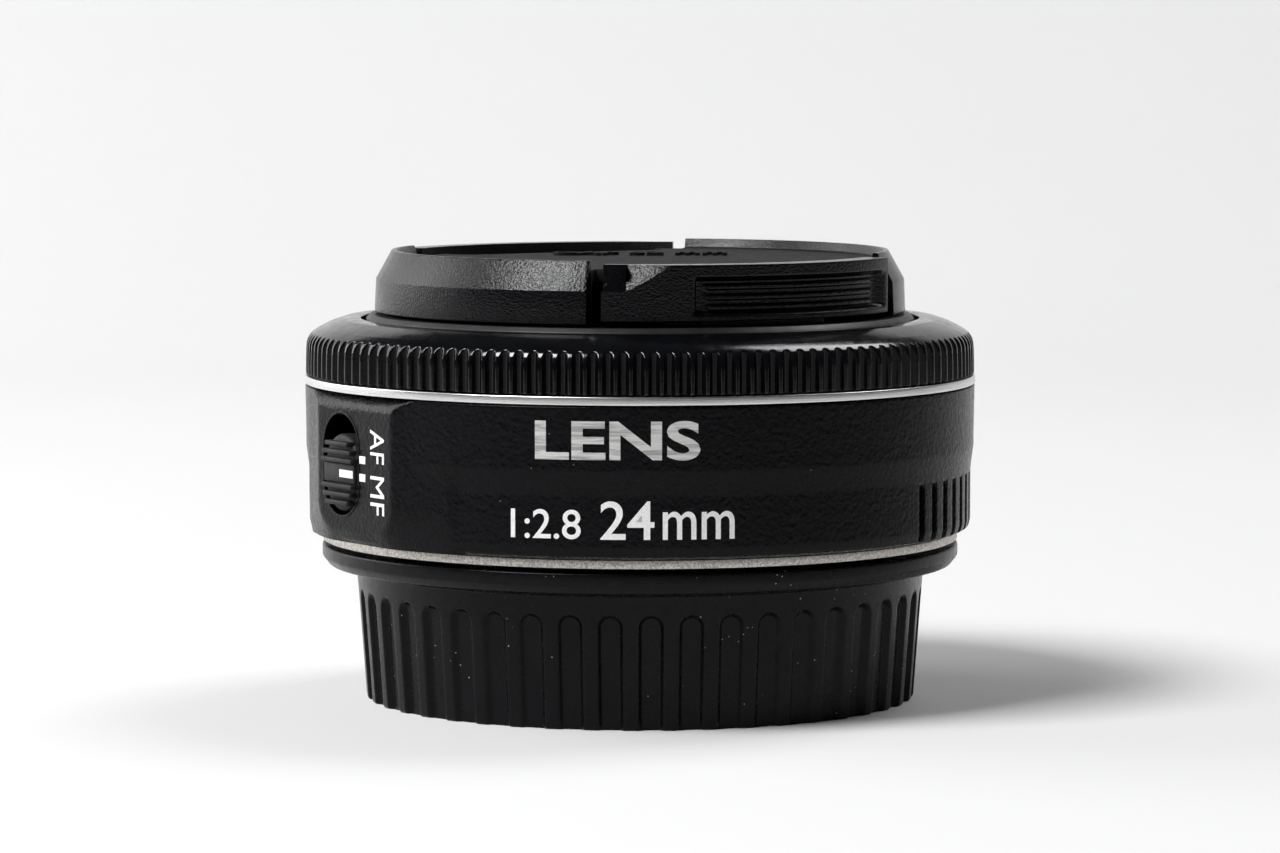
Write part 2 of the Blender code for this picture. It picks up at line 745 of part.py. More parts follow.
def make_gear_cover(gear, motor):
    middle = (azimuth_between((0, 0), gear) + azimuth_between((0, 0), motor)) / 2
    cover = sector("gear_cover", 19.8, 26.6, middle, 44.0, 24.3, 24.9, 8, "inner_black")
    legs = [
        sector("leg", 21.0, 25.6, middle + side * 20.0, 4.0, 21.15, 24.5, 1) for side in (-1, 1)
    ]
    add(cover, *legs)
    holes = [
        cylinder("hole", 0.55, TINY_PIN_SIDES, gear, 24.0, 25.2),
        cylinder("hole", 0.8, TINY_PIN_SIDES, motor, 24.0, 25.2),
    ]
    return cut(cover, *holes)


def make_focus_motor(motor):
    outline = [
        (0.8, 25.1),
        (MOTOR_R, 25.1),
        (MOTOR_R, 31.3),
        (1.1, 31.3),
        (1.1, 31.8),
        (0, 31.8),
        (0, 26.2),
        (0.8, 26.2),
    ]
    return shade(lathe("focus_motor", outline, 20, "motor_steel", motor))


def make_rollers():
    for number, azimuth in enumerate(ROLLER_AZIMUTHS, 1):
        outline = [(14.95, 0.35), (15.75, 0.35), (15.75, ROLLER_R), (17.75, ROLLER_R)]
        points = []
        for outward, radius in outline:
            for k in range(PIN_SIDES):
                angle = 2 * math.pi * k / PIN_SIDES
                across = radius * math.cos(angle)
                points.append(tangent_point(azimuth, across, outward, ROLLER_Z + radius * math.sin(angle)))
        faces = [tuple(reversed(range(PIN_SIDES))), tuple(3 * PIN_SIDES + k for k in range(PIN_SIDES))]
        for row in range(3):
            for k in range(PIN_SIDES):
                j = (k + 1) % PIN_SIDES
                a, b = row * PIN_SIDES, (row + 1) * PIN_SIDES
                faces.append((a + k, a + j, b + j, b + k))
        shade(solid(f"cam_roller_{number}", points, faces, "brass"))


# ---- Front barrel and optics ----


def make_front_barrel():
    return shade(
        lathe(
            "front_barrel",
            [
                (27.0, 30.2),
                (FRONT_R, 30.2),
                (FRONT_R, 38.5),
                (27.6, 38.95),
                (27.2, FRONT_TOP_Z),
                (26.2, FRONT_TOP_Z),
                (THREAD_R, 38.75),
                (THREAD_R, 35.4),
                (14.2, 35.4),
                (14.2, 34.6),
                (27.0, 34.6),
            ],
            SHELL_SIDES,
            "front_black",
        )
    )


def make_name_ring():
    outline = [(10.45, 35.7), (25.4, 35.7), (25.4, 36.3), (13.5, 37.2), (10.9, 37.35), (10.45, 37.0)]
    return shade(lathe("name_ring", outline, TUBE_SIDES, "front_black"))


def make_lens_cell():
    cell = lathe(
        "lens_cell",
        [
            (11.1, 15.4),
            (CELL_R, 15.4),
            (CELL_R, 33.6),
            (18.4, 33.6),
            (18.4, 34.3),
            (CELL_BORE_R, 34.3),
            (CELL_BORE_R, 19.2),
            (10.2, 19.2),
            (10.2, 18.3),
            (11.1, 18.3),
        ],
        CELL_SIDES,
        "inner_black",
    )
    hole = pill((0.0, ROLLER_Z), (1.0, 1.001), 4)
    holes = [plate("hole", hole, azimuth, 13.5, 17.0) for azimuth in ROLLER_AZIMUTHS]
    return shade(cut(cell, join_loose(holes)))


def make_lens_holders():
    front = [
        (6.9, 29.6),
        (8.2, 29.6),
        (8.2, 33.4),
        (14.5, 33.4),
        (14.5, 34.2),
        (10.15, 34.2),
        (10.15, 36.8),
        (9.6, 36.8),
        (9.6, 34.0),
        (6.9, 33.2),
    ]
    rear = [
        (9.0, 19.5),
        (14.5, 19.5),
        (14.5, 25.5),
        (7.2, 25.5),
        (7.2, 21.8),
        (6.3, 21.8),
        (6.3, 21.3),
        (9.0, 21.3),
    ]
    shade(lathe("front_lens_holder", front, CELL_SIDES, "inner_black"))
    shade(lathe("rear_lens_holder", rear, CELL_SIDES, "inner_black"))
    clamp = [(8.7, 36.1), (9.5, 36.1), (9.5, 36.75), (8.9, 36.75)]
    shade(lathe("front_retaining_ring", clamp, CELL_SIDES, "baffle_black"))
    clamp = [(9.9, 15.6), (10.9, 15.6), (10.9, 16.4), (9.9, 16.4)]
    shade(lathe("rear_retaining_ring", clamp, CELL_SIDES, "baffle_black"))


def make_glass(number, radius, low_edge, high_edge, low_sag, high_sag, sides=GLASS_SIDES):
    """One element: its edge heights, and how far each face rises from its edge to the axis."""
    rings = 3
    outline = [(0, low_edge + low_sag)]
    for k in range(1, rings + 1):
        share = k / rings
        outline.append((radius * share, low_edge + low_sag * (1 - share**2)))
    for k in range(rings, 0, -1):
        share = k / rings
        outline.append((radius * share, high_edge + high_sag * (1 - share**2)))
    outline.append((0, high_edge + high_sag))
    return shade(lathe(f"lens_element_{number}", outline, sides, "coated_glass"), 25.0)


def make_optics():
    make_glass(1, 9.35, 34.4, 35.4, 1.4, 1.7)
    make_glass(2, 6.6, 30.6, 31.4, -0.6, 0.8)
    make_glass(3, 6.8, 23.35, 25.2, 0.7, -0.5)
    make_glass(4, 6.8, 22.4, 23.2, -0.4, 0.7)
    make_glass(5, 8.7, 19.8, 20.9, 0.7, 0.3)
    make_glass(6, 10.7, 16.9, 18.0, -0.8, 0.7)


# ---- Iris ----


def blade_pin(turn):
    """The drive pin of the blade at azimuth 90, as (x, y), once the blade has turned this far."""
    angle = math.radians(turn)
    return (BLADE_PIVOT_R + BLADE_ARM * math.sin(angle), -BLADE_ARM * math.cos(angle))


def turned(point, degrees):
    angle = math.radians(degrees)
    x, y = point[:2]
    return (x * math.cos(angle) - y * math.sin(angle), x * math.sin(angle) + y * math.cos(angle))


def round_outline(centre, radius, sides):
    return [
        (
            centre[0] + radius * math.cos(2 * math.pi * k / sides),
            centre[1] + radius * math.sin(2 * math.pi * k / sides),
        )
        for k in range(sides)
    ]


def blade_outline():
    """A crescent that opens anticlockwise from its pivot, and the ear that holds its two pins."""
    outline = []
    steps = 6
    for k in range(steps + 1):
        outline.append(turned((IRIS_OPEN_R, 0), -6.0 + (BLADE_ARC + 6.0) * k / steps))
    outline.append(turned((5.6, 0), BLADE_ARC + 8.0))
    for k in range(steps):
        outline.append(turned((BLADE_OUTER_R, 0), BLADE_ARC - (BLADE_ARC - 14.0) * k / (steps - 1)))
    ear = ((8.8, 6.0), (9.3, 1.0), (9.5, -8.0), (9.45, -15.0), (9.0, -18.0), (8.2, -17.0), (7.0, -10.0))
    outline += [turned((radius, 0), angle) for radius, angle in ear]
    return outline


def make_iris_blades():
    step = 360.0 / BLADE_COUNT
    for k in range(BLADE_COUNT):
        turn = k * step
        low = BLADE_LOW_Z + BLADE_PITCH_Z * k
        high = low + BLADE_THICKNESS
        pivot = turned((BLADE_PIVOT_R, 0), turn)
        outline = [turned(point, turn) for point in blade_outline()]
        blade = prism(f"iris_blade_{k + 1}", outline, low, high, "blade_black", (*pivot, 0.0))
        below = round_outline(pivot, IRIS_PIN_R, TINY_PIN_SIDES)
        above = round_outline(turned(blade_pin(0.0), turn), IRIS_PIN_R, TINY_PIN_SIDES)
        pivot_pin = prism("pivot_pin", below, 25.9, low + 0.05)
        drive_pin = prism("drive_pin", above, high - 0.05, 28.3)
        add(blade, pivot_pin, drive_pin)


def pin_slot(turn):
    """The slot that the control ring needs, so that a steady turn of it turns the blade steadily."""
    steps = 5
    path = []
    for k in range(steps + 1):
        ring_turn = IRIS_TURN * k / steps
        path.append(turned(blade_pin(BLADE_TURN * k / steps), turn - ring_turn))
    left, right = [], []
    for k, point in enumerate(path):
        before = path[max(k - 1, 0)]
        after = path[min(k + 1, steps)]
        length = math.dist(before, after)
        along = ((after[0] - before[0]) / length, (after[1] - before[1]) / length)
        extra = IRIS_PIN_ROOM * {0: -1, steps: 1}.get(k, 0)
        x, y = point[0] + along[0] * extra, point[1] + along[1] * extra
        left.append((x - along[1] * IRIS_PIN_ROOM, y + along[0] * IRIS_PIN_ROOM))
        right.append((x + along[1] * IRIS_PIN_ROOM, y - along[0] * IRIS_PIN_ROOM))
    return left + right[::-1]


def make_iris_ring():
    low, high = IRIS_RING_Z
    pitch_r = IRIS_MODULE * IRIS_RING_TEETH / 2
    root_r = pitch_r - 1.15 * IRIS_MODULE
    outline = [(7.6, low), (root_r, low), (root_r, high), (7.6, high)]
    ring = lathe("iris_ring", outline, CELL_SIDES, "inner_black")
    step = 360.0 / IRIS_RING_TEETH
    last = math.ceil(IRIS_TURN / step) + 2
    teeth = gear_outline(IRIS_MODULE, IRIS_RING_TEETH, (0, 0), IRIS_MOTOR_AZIMUTH, -last, 2)
    start = IRIS_MOTOR_AZIMUTH - (last + 0.31) * step
    end = IRIS_MOTOR_AZIMUTH + 2.31 * step
    teeth += arc(root_r - 0.35, end, start, 6)
    add(ring, prism("teeth", teeth, low, high))
    slots = []
    for k in range(BLADE_COUNT):
        slots.append(prism("slot", pin_slot(k * 360.0 / BLADE_COUNT), low - 1.0, high + 1.0))
    return cut(ring, join_loose(slots))


def make_iris_housing():
    base = lathe(
        "iris_base",
        [(4.2, 25.8), (14.4, 25.8), (14.4, 28.6), (13.5, 28.6), (13.5, 26.3), (4.2, 26.3)],
        CELL_SIDES,
        "inner_black",
    )
    step = 360.0 / BLADE_COUNT
    holes = [
        cylinder("hole", IRIS_PIN_ROOM, TINY_PIN_SIDES, turned((BLADE_PIVOT_R, 0), k * step), 25.0, 27.0)
        for k in range(BLADE_COUNT)
    ]
    shade(cut(base, join_loose(holes)))
    cover = [(6.6, 28.75), (14.4, 28.75), (14.4, 29.15), (6.6, 29.15)]
    cover = lathe("iris_cover", cover, CELL_SIDES, "inner_black")
    centre = polar(IRIS_MODULE * (IRIS_RING_TEETH + IRIS_PINION_TEETH) / 2, IRIS_MOTOR_AZIMUTH)[:2]
    cut(cover, cylinder("hole", 0.7, TINY_PIN_SIDES, centre, 28.0, 30.0))
    phase = IRIS_MOTOR_AZIMUTH + 180.0 + 180.0 / IRIS_PINION_TEETH
    teeth = gear_outline(IRIS_MODULE, IRIS_PINION_TEETH, centre, phase)
    pinion = prism("iris_pinion", teeth, 27.9, 28.5, "brass", (*centre, 0.0))
    add(pinion, cylinder("shaft", 0.35, TINY_PIN_SIDES, centre, 28.4, 30.0))
    can = [(0.7, 29.45), (2.3, 29.45), (2.3, 32.9), (0, 32.9), (0, 30.3), (0.7, 30.3)]
    shade(lathe("iris_motor", can, 16, "motor_steel", centre))


# ---- Front cap ----


def make_front_cap():
    low, high = CAP_PLATE_Z
    cap = lathe(
        "front_cap",
        [
            (0, low),
            (24.0, low),
            (24.0, CAP_LOW_Z),
            (27.0, CAP_LOW_Z),
            (LEVER_R, CAP_CHAMFER_Z),
            (25.25, FRONT_CAP_TOP_Z),
            (24.75, FRONT_CAP_TOP_Z),
            (24.45, high),
            (0, high),
        ],
        SHELL_SIDES,
        "cap_plastic",
    )
    for azimuth in (LEVER_AZIMUTH, LEVER_AZIMUTH + 180.0):
        window = sided_sector("window", 22.6, 30.0, azimuth, LEVER_WINDOW, 38.0, 47.0)
        pocket = [(-12.5, 17.0), (-11.0, 15.5), (11.0, 15.5), (12.5, 17.0), (12.5, 23.5), (-12.5, 23.5)]
        cut(cap, window, prism("pocket", on_azimuth(pocket, azimuth), 42.0, 47.0))
    rib = on_azimuth(box_outline((-4.0, -2.9), (4.0, 2.9)), LEVER_AZIMUTH)
    return shade(add(cap, prism("rib", rib, 40.6, 44.0)))


def make_cap_back_plate():
    outline = [(0, CAP_LOW_Z), (22.2, CAP_LOW_Z), (22.2, 40.2), (0, 40.2)]
    return shade(lathe("cap_back_plate", outline, TUBE_SIDES, "cap_plastic"))


def end_facet(azimuth):
    """The wedge that turns the lever's upright wall into the cap's chamfer at its leading end."""
    left, right = azimuth - 32.4, azimuth - 23.1
    low_z, high_z = CAP_CHAMFER_Z, LEVER_TOP_Z
    foot = polar(LEVER_R, left, low_z)
    slope = polar(25.4, left, high_z)
    tip = polar(LEVER_R, right, high_z)
    away = polar(6.0, azimuth - 28.0)
    points = [foot, slope, tip]
    # The plane through the three points is carried past the wall on every side.
    middle = [sum(p[i] for p in points) / 3 for i in range(3)]
    near = [[m + 6.0 * (p - m) for p, m in zip(point, middle)] for point in points]
    far = [(x + away[0], y + away[1], z + 2.0) for x, y, z in near]
    faces = [(0, 1, 2), (5, 4, 3), (0, 3, 4, 1), (1, 4, 5, 2), (2, 5, 3, 0)]
    return solid("facet", near + far, faces)


def make_cap_lever(letter, azimuth):
    lever = sided_sector(
        f"cap_lever_{letter}",
        LEVER_BORE_R,
        LEVER_R,
        azimuth,
        LEVER_HALF_WIDTH,
        LEVER_LOW_Z,
        LEVER_TOP_Z,
        material="cap_plastic",
    )
    reach = math.degrees(math.asin(12.0 / 24.9))
    slider = on_azimuth([(-12.0, 9.5), (12.0, 9.5)], azimuth)
    slider += arc(24.9, azimuth + reach, azimuth - reach, 10)
    claw = sided_sector("claw", 24.2, 25.4, azimuth, 7.0, 36.95, 40.3, 8)
    seat = on_azimuth(box_outline((-2.0, 9.8), (2.0, 10.9)), azimuth)
    add(lever, prism("slider", slider, 40.7, 41.7), claw, prism("seat", seat, 41.2, 43.1))
    grips = [
        prism("grip", on_azimuth(box_outline((-8.0, s), (8.0, s + 0.7)), azimuth), 41.5, 42.3)
        for s in (17.2, 18.9, 20.6)
    ]
    add(lever, *grips)
    scoop = sided_sector("scoop", 26.05, 30.0, azimuth + SCOOP_TURN, 9.6, 40.2, 43.9, 12)
    cut(lever, scoop)
    ribs = [
        sided_sector("rib", 25.6, 26.45, azimuth + SCOOP_TURN, 8.9, z - 0.2, z + 0.2, 12)
        for z in (41.0, 42.0, 43.0)
    ]
    add(lever, *ribs)
    notch = on_azimuth(box_outline((-20.0, 5.0), (-14.4, 30.0)), azimuth)
    cut(lever, prism("notch", notch, CAP_CHAMFER_Z, 47.0), end_facet(azimuth))
    return shade(lever)


def make_cap_spring(letter, azimuth):
    """A coil from the cap's rib to the lever's seat, with its ends left open."""
    turn_steps = 10
    corners = 4
    steps = SPRING_TURNS * turn_steps
    start, end = SPRING_SPAN
    length = end - start - 2 * SPRING_WIRE_R
    points = []
    for k in range(steps + 1):
        angle = 2 * math.pi * k / turn_steps
        outward = start + SPRING_WIRE_R + length * k / steps
        for i in range(corners):
            around = 2 * math.pi * i / corners
            radius = SPRING_R + SPRING_WIRE_R * math.cos(around)
            along = outward + SPRING_WIRE_R * math.sin(around)
            z = SPRING_Z + radius * math.sin(angle)
            points.append(tangent_point(azimuth, radius * math.cos(angle), along, z))
    last = steps * corners
    faces = [tuple(range(corners)), tuple(last + corners - 1 - i for i in range(corners))]
    for k in range(steps):
        for i in range(corners):
            j = (i + 1) % corners
            a, b = k * corners, (k + 1) * corners
            faces.append((a + i, b + i, b + j, a + j))
    return shade(solid(f"cap_spring_{letter}", points, faces, "spring_steel"), 60.0)


def main():
    for obj in list(bpy.data.objects):
        bpy.data.objects.remove(obj)
    make_rear_cap()
    make_mount_ring()
    make_mount_screws()
    make_index_mark()
    make_rear_baffle()
    make_contacts()
    make_main_board()
    make_outer_barrel()
    make_trim_ring()
    make_focus_ring()
    make_focus_ring_fittings()
    make_mode_switch()
    make_guide_barrel()
    make_cam_barrel()
    gear, motor = make_gear_train()
    make_gear_cover(gear, motor)
    make_focus_motor(motor)
    make_rollers()
    make_front_barrel()
    make_name_ring()
    make_lens_cell()
    make_lens_holders()
    make_optics()
    make_iris_blades()
    make_iris_ring()
    make_iris_housing()
    make_front_cap()
    make_cap_back_plate()
    for letter, azimuth in (("a", LEVER_AZIMUTH), ("b", LEVER_AZIMUTH + 180.0)):
        make_cap_lever(letter, azimuth)
        make_cap_spring(letter, azimuth)


main()
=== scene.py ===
"""The looks of an autofocus pancake prime lens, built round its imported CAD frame.

Shapes are worked out in millimetres and become metres when a mesh is made. An azimuth is counted
in degrees from -Y, the lettered side that faces the camera, towards +X. The outer heights and radii
come from the boxes of the CAD nodes that the pieces stand for.
"""

import json
import math

import bmesh
import bpy
import numpy as np
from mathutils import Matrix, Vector


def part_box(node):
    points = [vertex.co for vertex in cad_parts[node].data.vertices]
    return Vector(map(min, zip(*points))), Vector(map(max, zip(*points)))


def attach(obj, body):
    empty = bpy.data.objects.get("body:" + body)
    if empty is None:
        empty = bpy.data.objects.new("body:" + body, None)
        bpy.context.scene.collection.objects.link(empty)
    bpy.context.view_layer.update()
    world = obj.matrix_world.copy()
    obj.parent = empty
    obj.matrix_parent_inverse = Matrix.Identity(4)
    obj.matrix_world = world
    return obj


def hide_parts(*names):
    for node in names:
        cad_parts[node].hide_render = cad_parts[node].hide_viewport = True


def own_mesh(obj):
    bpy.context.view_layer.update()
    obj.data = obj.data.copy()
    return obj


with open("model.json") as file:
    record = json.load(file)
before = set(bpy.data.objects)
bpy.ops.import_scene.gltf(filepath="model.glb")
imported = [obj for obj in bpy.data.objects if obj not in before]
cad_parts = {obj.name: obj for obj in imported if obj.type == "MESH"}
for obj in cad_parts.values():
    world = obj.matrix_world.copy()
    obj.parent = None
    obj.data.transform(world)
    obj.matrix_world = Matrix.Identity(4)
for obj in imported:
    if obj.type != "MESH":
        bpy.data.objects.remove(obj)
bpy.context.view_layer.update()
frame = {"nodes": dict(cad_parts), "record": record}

MM = 0.001


class Extent:
    """The box of a CAD node in millimetres, with its foot, its top and its reach from the axis."""

    def __init__(self, node):
        low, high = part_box(node)
        self.low = Vector(low) / MM
        self.high = Vector(high) / MM
        self.foot = self.low.z
        self.top = self.high.z
        self.radius = self.high.x


REAR_CAP = Extent("rear_cap")
MOUNT = Extent("mount_ring")
BARREL = Extent("outer_barrel")
TRIM = Extent("trim_ring")
RING = Extent("focus_ring")
FRONT = Extent("front_barrel")
NAME = Extent("name_ring")
CAP = Extent("front_cap")
LEVER = Extent("cap_lever_a")

# Rear cap
REAR_CAP_WALL = 28.6
FLUTES = 45
FLUTE_PHASE = 2.2
FLUTE_HALF = 1.1
FLUTE_TOP = REAR_CAP.foot + 11.2
FLUTE_FLOOR = 27.42
FLUTE_EDGE = 0.28
CAP_TAPER = 0.07
LUG_AZIMUTHS = (0.0, 120.0, 240.0)

# Barrel and its mode switch
SLEEVE_R = 31.4
WALL_R = 32.1
LOWER_R = 33.68
UPPER_R = 34.0
PAD_AZIMUTH = -56.5
PAD_FACE = 33.8
PAD_HALF = 6.95
PAD_FOOT = 18.75
PAD_BROW = 30.2
PAD_BROW_R = 1.9
PAD_CORNER = 2.5
PAD_SLOPE = 0.41
SLOT_CENTRE = (-2.48, 25.0)
SLOT_SIZE = (6.7, 10.1)
KNOB_CENTRE = (-2.48, 24.18)
KNOB_SIZE = (6.2, 7.75)
KNOB_FACE = 34.2
GRIP_AZIMUTH = 90.0
GRIP_PITCH = 4.3
GRIP_HALF_COUNT = 8
GRIP_HALF = 0.5
GRIP_FLOOR = 33.2
GRIP_TOP = 23.3

# Focus ring
TEETH = 144
TEETH_R = 34.0
GROOVE_PHASE = -0.2
GROOVE_FLOOR = 33.3
GROOVE_HALF = 0.6

# Filter rim
THREAD_R = 25.85
THREAD_PITCH = 0.75
THREAD_SPAN = (36.0, 38.7)
THREAD_DEPTH = 0.3

# Front cap
LEVER_AZIMUTHS = (29.5, 209.5)
LEVER_R = 26.85
LEVER_FOOT = 39.7
LEVER_SPAN = 75.2
LEVER_RIBS = (41.0, 42.0, 43.0)
SLIDER_R = 24.9
SLIDER_HALF = 12.0
WINDOW_SPAN = 81.4
SCOOP_DEPTH = 0.85
CHAMFER_Z = 42.65
PLATE_TOP = 44.6
CAP_BORE_R = 24.45

# Studio, in metres
SHEET_HALF_WIDTH = 1.6
SHEET_FRONT, SHEET_BACK = -0.9, 0.75
SHEET_HEIGHT = 0.5
SHEET_BEND = 0.3
SHEET_GREY = 0.67
# Where the sheet's colour is painted darker in front of the lens as painted shade: its start, its
# end and its grey
PAINTED_SHADE_START, PAINTED_SHADE_END, PAINTED_SHADE_GREY = -0.20, -0.42, 0.2
# Each light's distance, azimuth, height, side and power
LIGHTS = {
    "key": (0.74, -54.0, 0.96, 0.5, 17.5),
    "left_rim": (0.95, -112.0, 0.42, 0.7, 5.5),
    "back_fill": (0.7, 130.0, 0.95, 0.5, 5.5),
}
LIGHT_TARGET = (0.0, 0.0, 0.02)
AIR_COLOUR = (0.93, 0.96, 1.0, 1.0)
AIR_STRENGTH = 0.05
CAMERA_PLACE = (0.0, -0.5206, 0.0694)
CAMERA_DIP = 4.61
CAMERA_LENS = 143.9


# ---- Outlines and meshes ----


def smooth(share):
    """Eases a share in and out between 0 and 1."""
    share = np.clip(share, 0.0, 1.0)
    return share * share * (3 - 2 * share)


def soft_min(a, b, blend):
    """The lesser of two heights, with the corner between them rounded over this distance."""
    share = np.clip(0.5 + 0.5 * (b - a) / blend, 0.0, 1.0)
    return b + (a - b) * share - blend * share * (1 - share)


def soft_max(a, b, blend):
    """The greater of two heights, rounded in the same way."""
    return -soft_min(-a, -b, blend)


def polar(radius, azimuth, z=0.0):
    """A point at this distance from the axis."""
    angle = math.radians(azimuth)
    return (radius * math.sin(angle), -radius * math.cos(angle), z)


def tangent_point(azimuth, across, outward, z):
    """A point of the plane that faces this azimuth: across it, outward along it, and up."""
    angle = math.radians(azimuth)
    x = outward * math.sin(angle) + across * math.cos(angle)
    y = -outward * math.cos(angle) + across * math.sin(angle)
    return (x, y, z)


def rounded(outline, steps=3):
    """A closed outline in which a point's third value, if any, is its fillet radius."""
    points = []
    count = len(outline)
    for k, corner in enumerate(outline):
        here = Vector(corner[:2])
        radius = corner[2] if len(corner) > 2 else 0.0
        before = Vector(outline[k - 1][:2]) - here
        after = Vector(outline[(k + 1) % count][:2]) - here
        if radius == 0.0:
            points.append(tuple(here))
            continue
        opening = before.angle(after)
        reach = radius / math.tan(opening / 2)
        reach = min(reach, before.length * 0.49, after.length * 0.49)
        start = here + before.normalized() * reach
        end = here + after.normalized() * reach
        for i in range(steps + 1):
            t = i / steps
            points.append(tuple(start * (1 - t) ** 2 + here * 2 * t * (1 - t) + end * t**2))
    return points


def refined(outline, longest, low=-math.inf, high=math.inf, least_radius=-1.0):
    """Extra points on a closed outline's sides, within a band of heights and beyond a radius."""
    points = []
    for k, here in enumerate(outline):
        after = outline[(k + 1) % len(outline)]
        points.append(here)
        inside = min(here[0], after[0]) > least_radius
        if inside and max(here[1], after[1]) > low and min(here[1], after[1]) < high:
            pieces = max(1, math.ceil(math.dist(here, after) / longest))
            for i in range(1, pieces):
                share = i / pieces
                points.append(tuple(a + (b - a) * share for a, b in zip(here, after)))
    return points


def placed(name, data):
    """A new object in the scene."""
    obj = bpy.data.objects.new(name, data)
    bpy.context.scene.collection.objects.link(obj)
    return obj


def mesh_object(name, points, faces, angle=35.0):
    """A closed mesh from points in millimetres, facing outwards, smooth up to this angle."""
    mesh = bpy.data.meshes.new(name)
    mesh.from_pydata([tuple(c * MM for c in p) for p in points], [], faces)
    tidy = bmesh.new()
    tidy.from_mesh(mesh)
    bmesh.ops.remove_doubles(tidy, verts=tidy.verts, dist=1e-8)
    bmesh.ops.recalc_face_normals(tidy, faces=tidy.faces)
    tidy.to_mesh(mesh)
    tidy.free()
    return shade(placed(name, mesh), angle)


def shade(obj, angle=35.0):
    """Smooth shading, with the edges over this angle kept sharp."""
    obj.data.shade_smooth()
    obj.data.set_sharp_from_angle(angle=math.radians(angle))
    return obj


def level(obj):
    """Keeps the rounded edges' shading off the flat faces that look straight up or down."""
    for face in obj.data.polygons:
        if abs(face.normal.z) > 0.9999:
            face.use_smooth = False
    return obj


def even(sides):
    """Azimuths in even steps round the axis."""
    return np.arange(sides) * 360.0 / sides


def sweep(name, outline, azimuths=192, reach=None, angle=35.0):
    """A closed (r, z) outline turned about the axis, through reach(azimuth, r, z) if given."""
    azimuths = even(azimuths) if isinstance(azimuths, int) else np.asarray(azimuths)
    r, z = (np.array(column) for column in zip(*outline))
    turn = azimuths[:, None]
    radius = np.broadcast_to(r[None, :], (len(azimuths), len(r)))
    if reach:
        radius = reach(turn, r[None, :], z[None, :])
    height = np.broadcast_to(z[None, :], radius.shape)
    angle_of = np.radians(turn)
    points = np.stack([radius * np.sin(angle_of), -radius * np.cos(angle_of), height], -1)
    columns, rows = radius.shape
    faces = []
    for i in range(columns):
        a, b = i * rows, (i + 1) % columns * rows
        for j in range(rows):
            k = (j + 1) % rows
            if r[j] == 0 and r[k] == 0:
                continue
            faces.append((a + j, b + j, b + k, a + k))
    return mesh_object(name, points.reshape(-1, 3).tolist(), faces, angle)


def prism(name, outline, low, high):
    """A flat (x, y) outline raised from low to high."""
    count = len(outline)
    points = [(x, y, low) for x, y in outline] + [(x, y, high) for x, y in outline]
    return mesh_object(name, points, prism_faces(count))


def prism_faces(count):
    """The faces between two like outlines, the first one's points before the second one's."""
    faces = [tuple(reversed(range(count))), tuple(range(count, 2 * count))]
    for k in range(count):
        j = (k + 1) % count
        faces.append((k, j, count + j, count + k))
    return faces


def plate(name, outline, azimuth, inner, outer):
    """An (across, z) outline facing an azimuth, between two distances from the axis."""
    points = [tangent_point(azimuth, a, inner, z) for a, z in outline]
    points += [tangent_point(azimuth, a, outer, z) for a, z in outline]
    return mesh_object(name, points, prism_faces(len(outline)))


def arc(radius, start, end, steps):
    """(x, y) points along a circle about the axis."""
    span = end - start
    return [polar(radius, start + span * k / steps)[:2] for k in range(steps + 1)]


def sector(name, inner, outer, middle, span, low, high, steps=24):
    """A ring segment whose two ends are radial."""
    start, end = middle - span / 2, middle + span / 2
    outline = arc(outer, start, end, steps) + arc(inner, end, start, steps)
    return prism(name, outline, low, high)


def sided_sector(name, inner, outer, middle, half_width, low, high, steps=40):
    """A ring segment whose two ends run parallel to its middle direction."""
    outline = []
    for radius, direction in ((outer, 1), (inner, -1)):
        reach = math.degrees(math.asin(half_width / radius))
        outline += arc(radius, middle - direction * reach, middle + direction * reach, steps)
    return prism(name, outline, low, high)


def on_azimuth(outline, azimuth):
    """An (across, outward) outline turned to face an azimuth."""
    return [tangent_point(azimuth, a, d, 0.0)[:2] for a, d in outline]


def box_outline(low, high):
    return [(low[0], low[1]), (high[0], low[1]), (high[0], high[1]), (low[0], high[1])]


def pill(centre, size, steps=14):
    """An upright outline with full-round ends."""
    radius = size[0] / 2
    straight = size[1] / 2 - radius
    outline = []
    for middle, start in ((centre[1] + straight, 0.0), (centre[1] - straight, 180.0)):
        for k in range(steps + 1):
            angle = math.radians(start + 180.0 * k / steps)
            across = centre[0] + radius * math.cos(angle)
            outline.append((across, middle + radius * math.sin(angle)))
    return outline


def applied(obj):
    """Turns an object's modifiers into its mesh."""
    graph = bpy.context.evaluated_depsgraph_get()
    mesh = bpy.data.meshes.new_from_object(obj.evaluated_get(graph))
    obj.modifiers.clear()
    obj.data = mesh
    return obj


def carve(target, operation, *others):
    """Applies one Boolean for each of the other bodies, and removes them."""
    for other in others:
        modifier = target.modifiers.new("carve", "BOOLEAN")
        modifier.operation = operation
        modifier.object = other
        applied(target)
        bpy.data.objects.remove(other)
    return target


def bevelled(obj, width, segments=2, angle=40.0):
    """Rounds the sharp edges over this many millimetres, so that they catch the light."""
    modifier = obj.modifiers.new("edges", "BEVEL")
    modifier.width = width * MM
    modifier.segments = segments
    modifier.limit_method = "ANGLE"
    modifier.angle_limit = math.radians(30.0)
    return shade(applied(obj), angle)


def joined(name, objects):
    """One object from several."""
    whole = bmesh.new()
    for obj in objects:
        obj.data.transform(obj.matrix_world)
        whole.from_mesh(obj.data)
        bpy.data.objects.remove(obj)
    mesh = bpy.data.meshes.new(name)
    whole.to_mesh(mesh)
    whole.free()
    return shade(placed(name, mesh))


# ---- Materials ----


